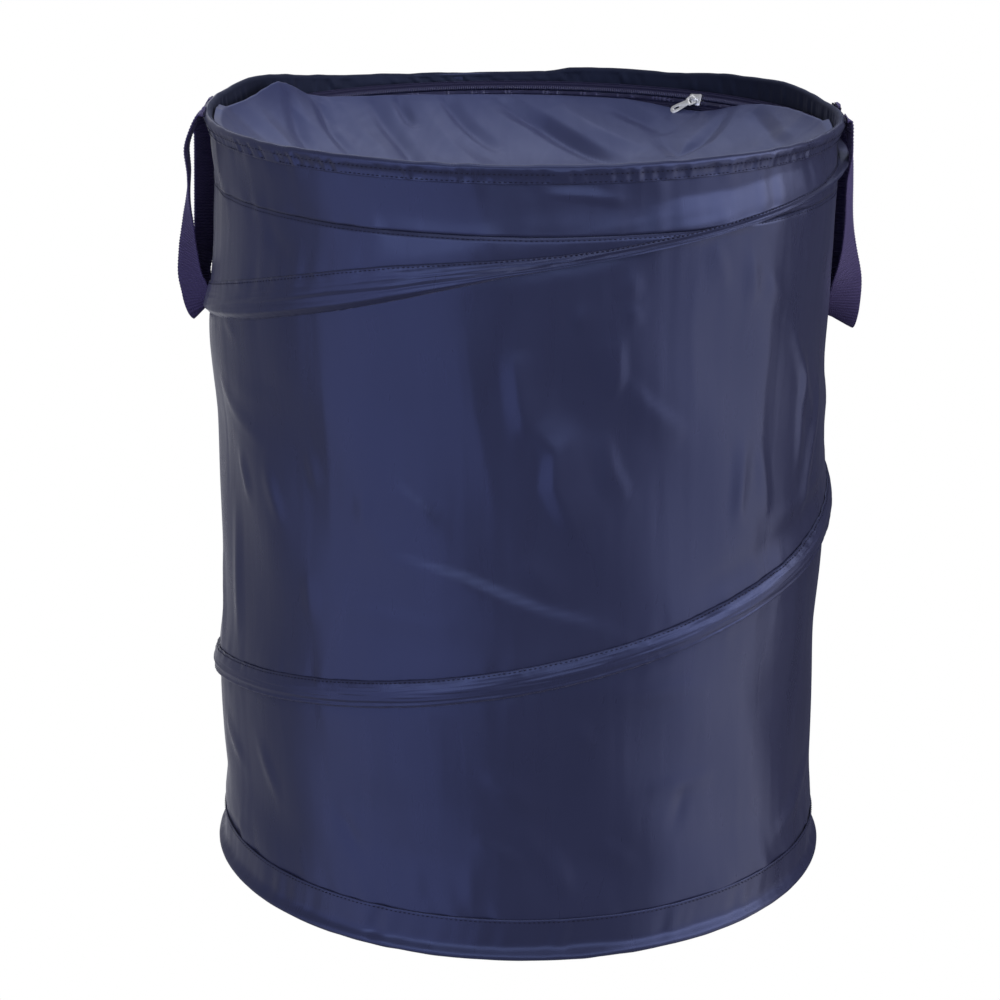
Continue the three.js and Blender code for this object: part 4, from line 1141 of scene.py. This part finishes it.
class HAMPER_OT_rim(bpy.types.Operator):
    """Puckered rim casing round the top ring"""

    bl_idname = "hamper.rim"
    bl_label = "Rim casing"

    def execute(self, context):
        sizes, colours = settings(context)
        ring = HEIGHT - HEM_TURN
        place, whole = hem_place(ring, RIM_FOOT, RIM_FOOT, 1, RIM_RIBS, sizes.pucker_depth, 41, rim_lift)
        wide = TAU * OUTER_RADIUS
        piece = cloth_grid("rim_casing_cloth", 1400, 34, (wide, whole), place)
        thicken(piece, sizes.cloth_thickness)
        # The rim's inner side gets painted shade, its colour darkened to a share of the casing's
        dress(piece, taffeta("rim taffeta", colours.casing, painted_shade_from=RIM_INNER_SIDE))
        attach(piece, "rim")
        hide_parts("rim_casing")
        self.ring()
        return {"FINISHED"}

    def ring(self):
        """The ring wire and its ferrule, which follow the wave of the rim."""
        steel = metal("spring steel", STEEL)
        for node in ("top_ring_wire", "top_ring_ferrule"):
            bm = node_copy(node)
            move_points(bm, lambda x, y, z: (x, y, z + rim_lift(np.arctan2(y, x) / TAU)))
            piece = finish_mesh(bm, f"{node}_waved")
            dress(piece, steel)
            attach(piece, "rim")
            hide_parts(node)


class HAMPER_OT_base(bpy.types.Operator):
    """Base casing round the bottom ring, and the base panel"""

    bl_idname = "hamper.base"
    bl_label = "Base"

    def execute(self, context):
        sizes, colours = settings(context)
        feet = (BASE_SEAM, BASE_INNER_FOOT)
        place, whole = hem_place(HEM_TURN, *feet, -1, BASE_RIBS, BASE_PUCKER, 51, flare=BASE_FLARE)
        wide = TAU * OUTER_RADIUS
        piece = cloth_grid("base_casing_cloth", 900, 44, (wide, whole), place, flip=True)
        thicken(piece, sizes.cloth_thickness)
        dress(piece, taffeta("casing taffeta", colours.casing))
        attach(piece, "base")
        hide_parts("base_casing")
        self.panel(sizes, colours)
        return {"FINISHED"}

    def panel(self, sizes, colours):
        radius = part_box("base_panel")[1].x

        def place(u, v):
            x, y = disc(u, v)
            free = np.clip(1 - x * x - y * y, 0, 1)
            wave = PANEL_WAVE * free * (0.5 + 0.5 * noise_around(u, v, (7, 6), 61))
            return x * radius, y * radius, PANEL_TOP - 0.0002 + wave

        piece = cloth_grid("base_panel_cloth", 90, 90, (2 * radius, 2 * radius), place)
        thicken(piece, sizes.cloth_thickness)
        dress(piece, taffeta("wall taffeta", colours.wall))
        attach(piece, "base")
        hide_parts("base_panel")


def lid_corner(azimuth):
    """1 at the ends of the zip and in front of them, where the lid meets the rim, and 0 along the zip."""
    return smoothstep(-np.sin(azimuth), *[-math.sin(angle) for angle in LID_CORNER])


def lid_front(azimuth):
    """0 along the zip, rising to 1 round the front of the lid."""
    return smoothstep(-np.sin(azimuth), 0, math.sin(LID_FRONT_SPAN))


def lid_height(azimuth, share):
    """Height of the lid's upper face: bowl, folds, soft billows and a free edge that rises at both ends."""
    edge = LID_REAR_EDGE + (LID_FRONT_EDGE - LID_REAR_EDGE) * lid_front(azimuth)
    free = 1 - share**2
    base = LID_REAR_EDGE + (edge - LID_REAR_EDGE) * share**2 - LID_SAG * free
    table = fold_rows(LID_FOLDS, (1, 1), LID_FOLD_SCALE)
    px, py = share * np.cos(azimuth), share * np.sin(azimuth)
    folds = fold_relief(px, py, table, LID_FOLD_CREST) * smoothstep(1 - share, 0.0, 0.06)
    billow = LID_BILLOW * noise_around(px / 4 + 0.5, (py + 1) / 2, (18, 8), 71) * free
    degrees = np.mod(np.degrees(azimuth) + 24, 360) - 24
    rise = np.interp(degrees, *zip(*LID_RISE)) * 0.001
    crest = np.maximum(smoothstep(1 - share, 0, LID_RISE_TOP), lid_corner(azimuth))
    slope = np.exp(-(np.maximum(1 - LID_RISE_TOP - share, 0) / LID_RISE_REACH))
    return base + folds + billow + rise * crest * slope


class HAMPER_OT_lid(bpy.types.Operator):
    """Cloth lid: one sheet that bends between the rim and the zipped flap"""

    bl_idname = "hamper.lid"
    bl_label = "Lid"

    def execute(self, context):
        sizes, colours = settings(context)

        def place(u, v):
            x, y = disc(u, v)
            share, azimuth = np.hypot(x, y), np.arctan2(y, x)
            out = 0.9 * lid_corner(azimuth) + 0.1 * lid_front(azimuth)
            reach = LID_REAR_RADIUS + (LID_FRONT_RADIUS - LID_REAR_RADIUS) * out
            height = lid_height(azimuth, share)
            return reach * share * np.cos(azimuth), reach * share * np.sin(azimuth), height

        def spread(u, v):
            most = math.sin(LID_GRID_PACK)
            return tuple((np.sin((2 * s - 1) * LID_GRID_PACK) / most + 1) / 2 for s in (u, v))

        wide = 2 * LID_REAR_RADIUS + 0.01
        piece = cloth_grid("lid_cloth", 210, 210, (wide, wide), place, spread=spread)
        thicken(piece, sizes.cloth_thickness)
        # The lid's lighter colour is painted light from above
        dress(piece, taffeta("lid taffeta", colours.lid, roughness=(0.32, 0.42)))
        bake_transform(piece)
        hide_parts("lid_flap", "lid_front")
        return {"FINISHED"}


def zip_point(azimuth, down, out):
    """A point of the zip's plane: metres down its slope and out of its face."""
    radius = ZIP_RADIUS - down * math.sin(ZIP_SLOPE) - out * math.cos(ZIP_SLOPE)
    height = ZIP_HEIGHT - down * math.cos(ZIP_SLOPE) + out * math.sin(ZIP_SLOPE)
    return radius * np.cos(azimuth), radius * np.sin(azimuth), height + 0 * azimuth


class HAMPER_OT_zip(bpy.types.Operator):
    """Zip tapes and their two rows of nylon coils"""

    bl_idname = "hamper.zip"
    bl_label = "Zip"

    def execute(self, context):
        sizes, colours = settings(context)
        over, short = RIM_TAPE_OVER / ZIP_RADIUS, LID_TAPE_SHORT / ZIP_RADIUS
        for name, side, body, first, last in (
            ("rim", -1, "rim", ZIP_FIRST - over, ZIP_LAST + over),
            ("lid", 1, "lid_flap", ZIP_FIRST + short, ZIP_LAST - short),
        ):
            self.tape(name, side, body, first, last, colours)
            self.coil(name, side, body, max(first, ZIP_FIRST), min(last, ZIP_LAST), sizes, colours)
        return {"FINISHED"}

    def tape(self, name, side, body, first, last, colours):
        long = (last - first) * ZIP_RADIUS

        def place(u, v):
            down = side * (TAPE_START + v * TAPE_WIDTH)
            out = TAPE_OUT + TAPE_RIDGE * np.cos(TAU * v * 3)
            return zip_point(first + u * (last - first), down, out)

        piece = cloth_grid(f"zip_tape_{name}_cloth", 420, 18, (long, TAPE_WIDTH), place, flip=side > 0)
        thicken(piece, TAPE_THICKNESS)
        dress(piece, plain_weave("zip tape weave", colours.tape, 0.65, 1600.0, 0.00015))
        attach(piece, body)
        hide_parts(f"zip_tape_{name}")

    def coil(self, name, side, body, first, last, sizes, colours):
        count = int((last - first) * ZIP_RADIUS / sizes.tooth_pitch)
        step = (last - first) / count
        bm = bead_ring(8, 6, COIL_SIZE, first + step / 2 * (1.5 + side / 2), step, count)

        def place(x, y, z):
            azimuth = np.arctan2(y, x)
            own = first + (np.floor((azimuth - first) / step) + 0.5) * step
            out = COIL_OUT + np.hypot(x, y) - 1
            return zip_point(own + (azimuth - own) / ZIP_RADIUS, side * COIL_DOWN + z, out)

        move_points(bm, place)
        piece = finish_mesh(bm, f"zip_coil_{name}_teeth")
        dress(piece, nylon("coil nylon", colours.coil))
        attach(piece, body)
        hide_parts(f"zip_coil_{name}")


class HAMPER_OT_metalwork(bpy.types.Operator):
    """Rounded slider, pull and stops, and the finish of the ring wires"""

    bl_idname = "hamper.metalwork"
    bl_label = "Slider, pull and wires"

    def execute(self, context):
        bright = metal("bright die casting", DIE_CASTING)
        for node in ("zip_slider", "zip_pull", "zip_stop_right", "zip_stop_left"):
            piece = self.rounded(node, METAL_EDGE)
            dress(piece, bright)
            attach(piece, "rim" if "stop" in node else node)
            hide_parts(node)
        steel = metal("spring steel", STEEL)
        for node in ("base_ring_wire", "base_ring_ferrule"):
            dress(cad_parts[node], steel)
        return {"FINISHED"}

    def rounded(self, node, width):
        bm = node_copy(node, flat=True)
        sharp = [e for e in bm.edges if len(e.link_faces) == 2 and e.calc_face_angle(0) > math.radians(35)]
        bmesh.ops.bevel(
            bm, geom=sharp, offset=width, offset_type="OFFSET", affect="EDGES", segments=2, profile=0.5,
            material=-1, clamp_overlap=True,
        )
        return finish_mesh(bm, f"{node}_bright")


def handle_path(side):
    """Centres of a loop's webbing and the directions of its width, down one leg and up the other."""
    table = np.array(HANDLE_STATIONS[side])
    knots = np.arange(len(table))
    fine = np.linspace(0, len(table) - 1, 141)
    cells = np.minimum(fine.astype(int), len(table) - 2)
    padded = np.vstack([2 * table[0] - table[1], table, table[-2] * (1, 1, -1, -1) + (0, 0, 0, 180)])
    share = (fine - knots[cells])[:, None]
    z, out, front, turn = catmull_rom(share, *(padded[cells + k] for k in range(4))).T
    rear_out, rear_turn = REAR_LEGS[side]
    leg = smoothstep(556 - z, 0, 22) * smoothstep(z - z.min(), 8, 45)
    out_behind = out + leg * (rear_out - out)
    turn_behind = turn + leg * (rear_turn - turn)
    if side == "left":
        out, out_behind, turn, turn_behind = out_behind, out, turn_behind, turn
    z = np.concatenate([z, z[-2::-1]])
    out = np.concatenate([out, out_behind[-2::-1]])
    front = np.concatenate([front, -front[-2::-1]])
    turn = np.radians(np.concatenate([turn, 180 - turn_behind[-2::-1]]))
    tilt = HANDLE_TILTS[side]
    widths = np.stack([np.sin(turn) * math.cos(tilt), np.cos(turn), -np.sin(turn) * math.sin(tilt)], axis=1)
    return np.stack([out, -front, z], axis=1) * 0.001, widths


class HAMPER_OT_handles(bpy.types.Operator):
    """Ribbed webbing loops at the left and right"""

    bl_idname = "hamper.handles"
    bl_label = "Webbing loops"

    def execute(self, context):
        sizes, colours = settings(context)
        web = plain_weave("ribbed webbing", colours.webbing, 0.6, 1500.0, 0.0002)
        for side, turn in (("right", 0.0), ("left", math.pi)):
            piece = self.loop(side, turn, sizes)
            dress(piece, web)
            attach(piece, f"handle_{side}")
            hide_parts(f"handle_{side}")
        return {"FINISHED"}

    def loop(self, side, turn, sizes):
        centres, widths = handle_path(side)
        along = np.concatenate([[0], np.cumsum(np.linalg.norm(np.diff(centres, axis=0), axis=1))])
        tangents = np.gradient(centres, along, axis=0)
        tangents /= np.linalg.norm(tangents, axis=1)[:, None]
        widths = widths - (widths * tangents).sum(1)[:, None] * tangents
        widths /= np.linalg.norm(widths, axis=1)[:, None]
        normals = np.cross(tangents, widths)
        long = float(along[-1])
        count = int(long / sizes.rib_pitch * 5)

        def pick(table, path):
            return np.stack([np.interp(path, along, table[:, k]) for k in range(3)], axis=1)

        def squared(wave):
            """Turns a circle's wave into that of a flat section with rounded edges."""
            return np.sign(wave) * np.abs(wave) ** 0.35

        def place(u, v):
            path = u * long
            angle = TAU * v
            across, thick = squared(np.cos(angle)), squared(np.sin(angle))
            rib = WEBBING_RIB * np.sin(TAU * path / sizes.rib_pitch)
            points = pick(centres, path) + pick(widths, path) * (across * WEBBING_WIDTH / 2)[:, None]
            points += pick(normals, path) * (thick * (WEBBING_THICKNESS / 2 + rib))[:, None]
            x, y, z = points.T
            return x * math.cos(turn) - y * math.sin(turn), x * math.sin(turn) + y * math.cos(turn), z

        return cloth_grid(f"handle_{side}_webbing", count, 24, (long, 0.053), place)


class HAMPER_OT_stitching(bpy.types.Operator):
    """Rows of thread along the seams, and the bars that tie the loops to the rim"""

    bl_idname = "hamper.stitching"
    bl_label = "Stitching"

    def execute(self, context):
        sizes, colours = settings(context)
        thread = plain_weave("sewing thread", colours.thread, 0.6, 6000.0, 0.00005, sheen=0.0)
        long = sizes.stitch_length
        first = float(wire_turn(BASE_SEAM + 0.006))
        last = float(wire_turn(RIM_FOOT - 0.02))

        def casing_top(turns):
            below, width = casing_edges(turns)
            return wire_height(turns) + 0.93 * width - below

        def level(height, wave=0.0):
            return lambda turns: height + wave * rim_lift(turns)

        def hem(out):
            return lambda turns, z: WALL_RADIUS + out + 0 * turns

        rows = (
            ("stitches_spiral", first, last, casing_top, casing_surface, "squash"),
            ("stitches_yoke", 0, 1, level(YOKE_SEAM - 0.0025), wall_surface, "squash"),
            ("stitches_base", 0, 1, level(BASE_SEAM - 0.002), hem(HEM_STITCH_OFF_WALL), "base"),
            ("stitches_rim_low", 0, 1, level(RIM_FOOT + 0.0014), hem(HEM_STITCH_OFF_WALL), "rim"),
            ("stitches_rim_high", 0, 1, level(HEIGHT - 0.0062, 0.66), hem(0.0036), "rim"),
        )
        for name, start, end, height, surface, body in rows:
            piece = stitch_row(name, start, end, height, surface, long)
            dress(piece, thread)
            if body == "squash":
                collapse_with_wall(piece)
            else:
                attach(piece, body)
        for side in ("right", "left"):
            for end in ("a", "b"):
                self.tack(f"handle_tack_{side}_{end}", thread)
        return {"FINISHED"}

    def tack(self, node, thread):
        low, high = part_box(node)
        bm = node_copy(node, flat=True)
        long = [e for e in bm.edges if e.calc_length() > 0.02]
        bmesh.ops.subdivide_edges(bm, edges=long, cuts=60, use_grid_fill=True)
        centre = (low + high) / 2

        def place(x, y, z):
            angle = math.atan2(centre.y, centre.x)
            along = -math.sin(angle) * (x - centre.x) + math.cos(angle) * (y - centre.y)
            swell = 1 + 0.22 * np.sin(TAU * along / 0.0016)
            out = (math.cos(angle) * (x - centre.x) + math.sin(angle) * (y - centre.y)) * (swell - 1)
            return x + math.cos(angle) * out, y + math.sin(angle) * out, centre.z + (z - centre.z) * swell

        move_points(bm, place)
        piece = finish_mesh(bm, f"{node}_thread")
        dress(piece, thread)
        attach(piece, "rim")
        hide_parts(node)


class HAMPER_PT_panel(bpy.types.Panel):
    """Lists the hamper's settings and the steps that make it"""

    bl_idname = "HAMPER_PT_panel"
    bl_label = "Laundry hamper"
    bl_space_type = "VIEW_3D"
    bl_region_type = "UI"
    bl_category = "Hamper"

    def draw(self, context):
        for group in (context.scene.hamper_sizes, context.scene.hamper_colours):
            column = self.layout.column(align=True)
            for name in group.bl_rna.properties.keys():
                if name not in ("rna_type", "name"):
                    column.prop(group, name)
        for step in STEPS:
            self.layout.operator(step.bl_idname)


STEPS = (
    HAMPER_OT_studio,
    HAMPER_OT_wall,
    HAMPER_OT_spiral,
    HAMPER_OT_rim,
    HAMPER_OT_base,
    HAMPER_OT_lid,
    HAMPER_OT_zip,
    HAMPER_OT_metalwork,
    HAMPER_OT_handles,
    HAMPER_OT_stitching,
)
CLASSES = (HamperSizes, HamperColours, *STEPS, HAMPER_PT_panel)


def register():
    for kind in CLASSES:
        bpy.utils.register_class(kind)
    bpy.types.Scene.hamper_sizes = bpy.props.PointerProperty(type=HamperSizes)
    bpy.types.Scene.hamper_colours = bpy.props.PointerProperty(type=HamperColours)


def unregister():
    del bpy.types.Scene.hamper_colours
    del bpy.types.Scene.hamper_sizes
    for kind in reversed(CLASSES):
        bpy.utils.unregister_class(kind)


def main():
    register()
    for step in STEPS:
        group, name = step.bl_idname.split(".")
        getattr(getattr(bpy.ops, group), name)()


if __name__ == "__main__":
    main()
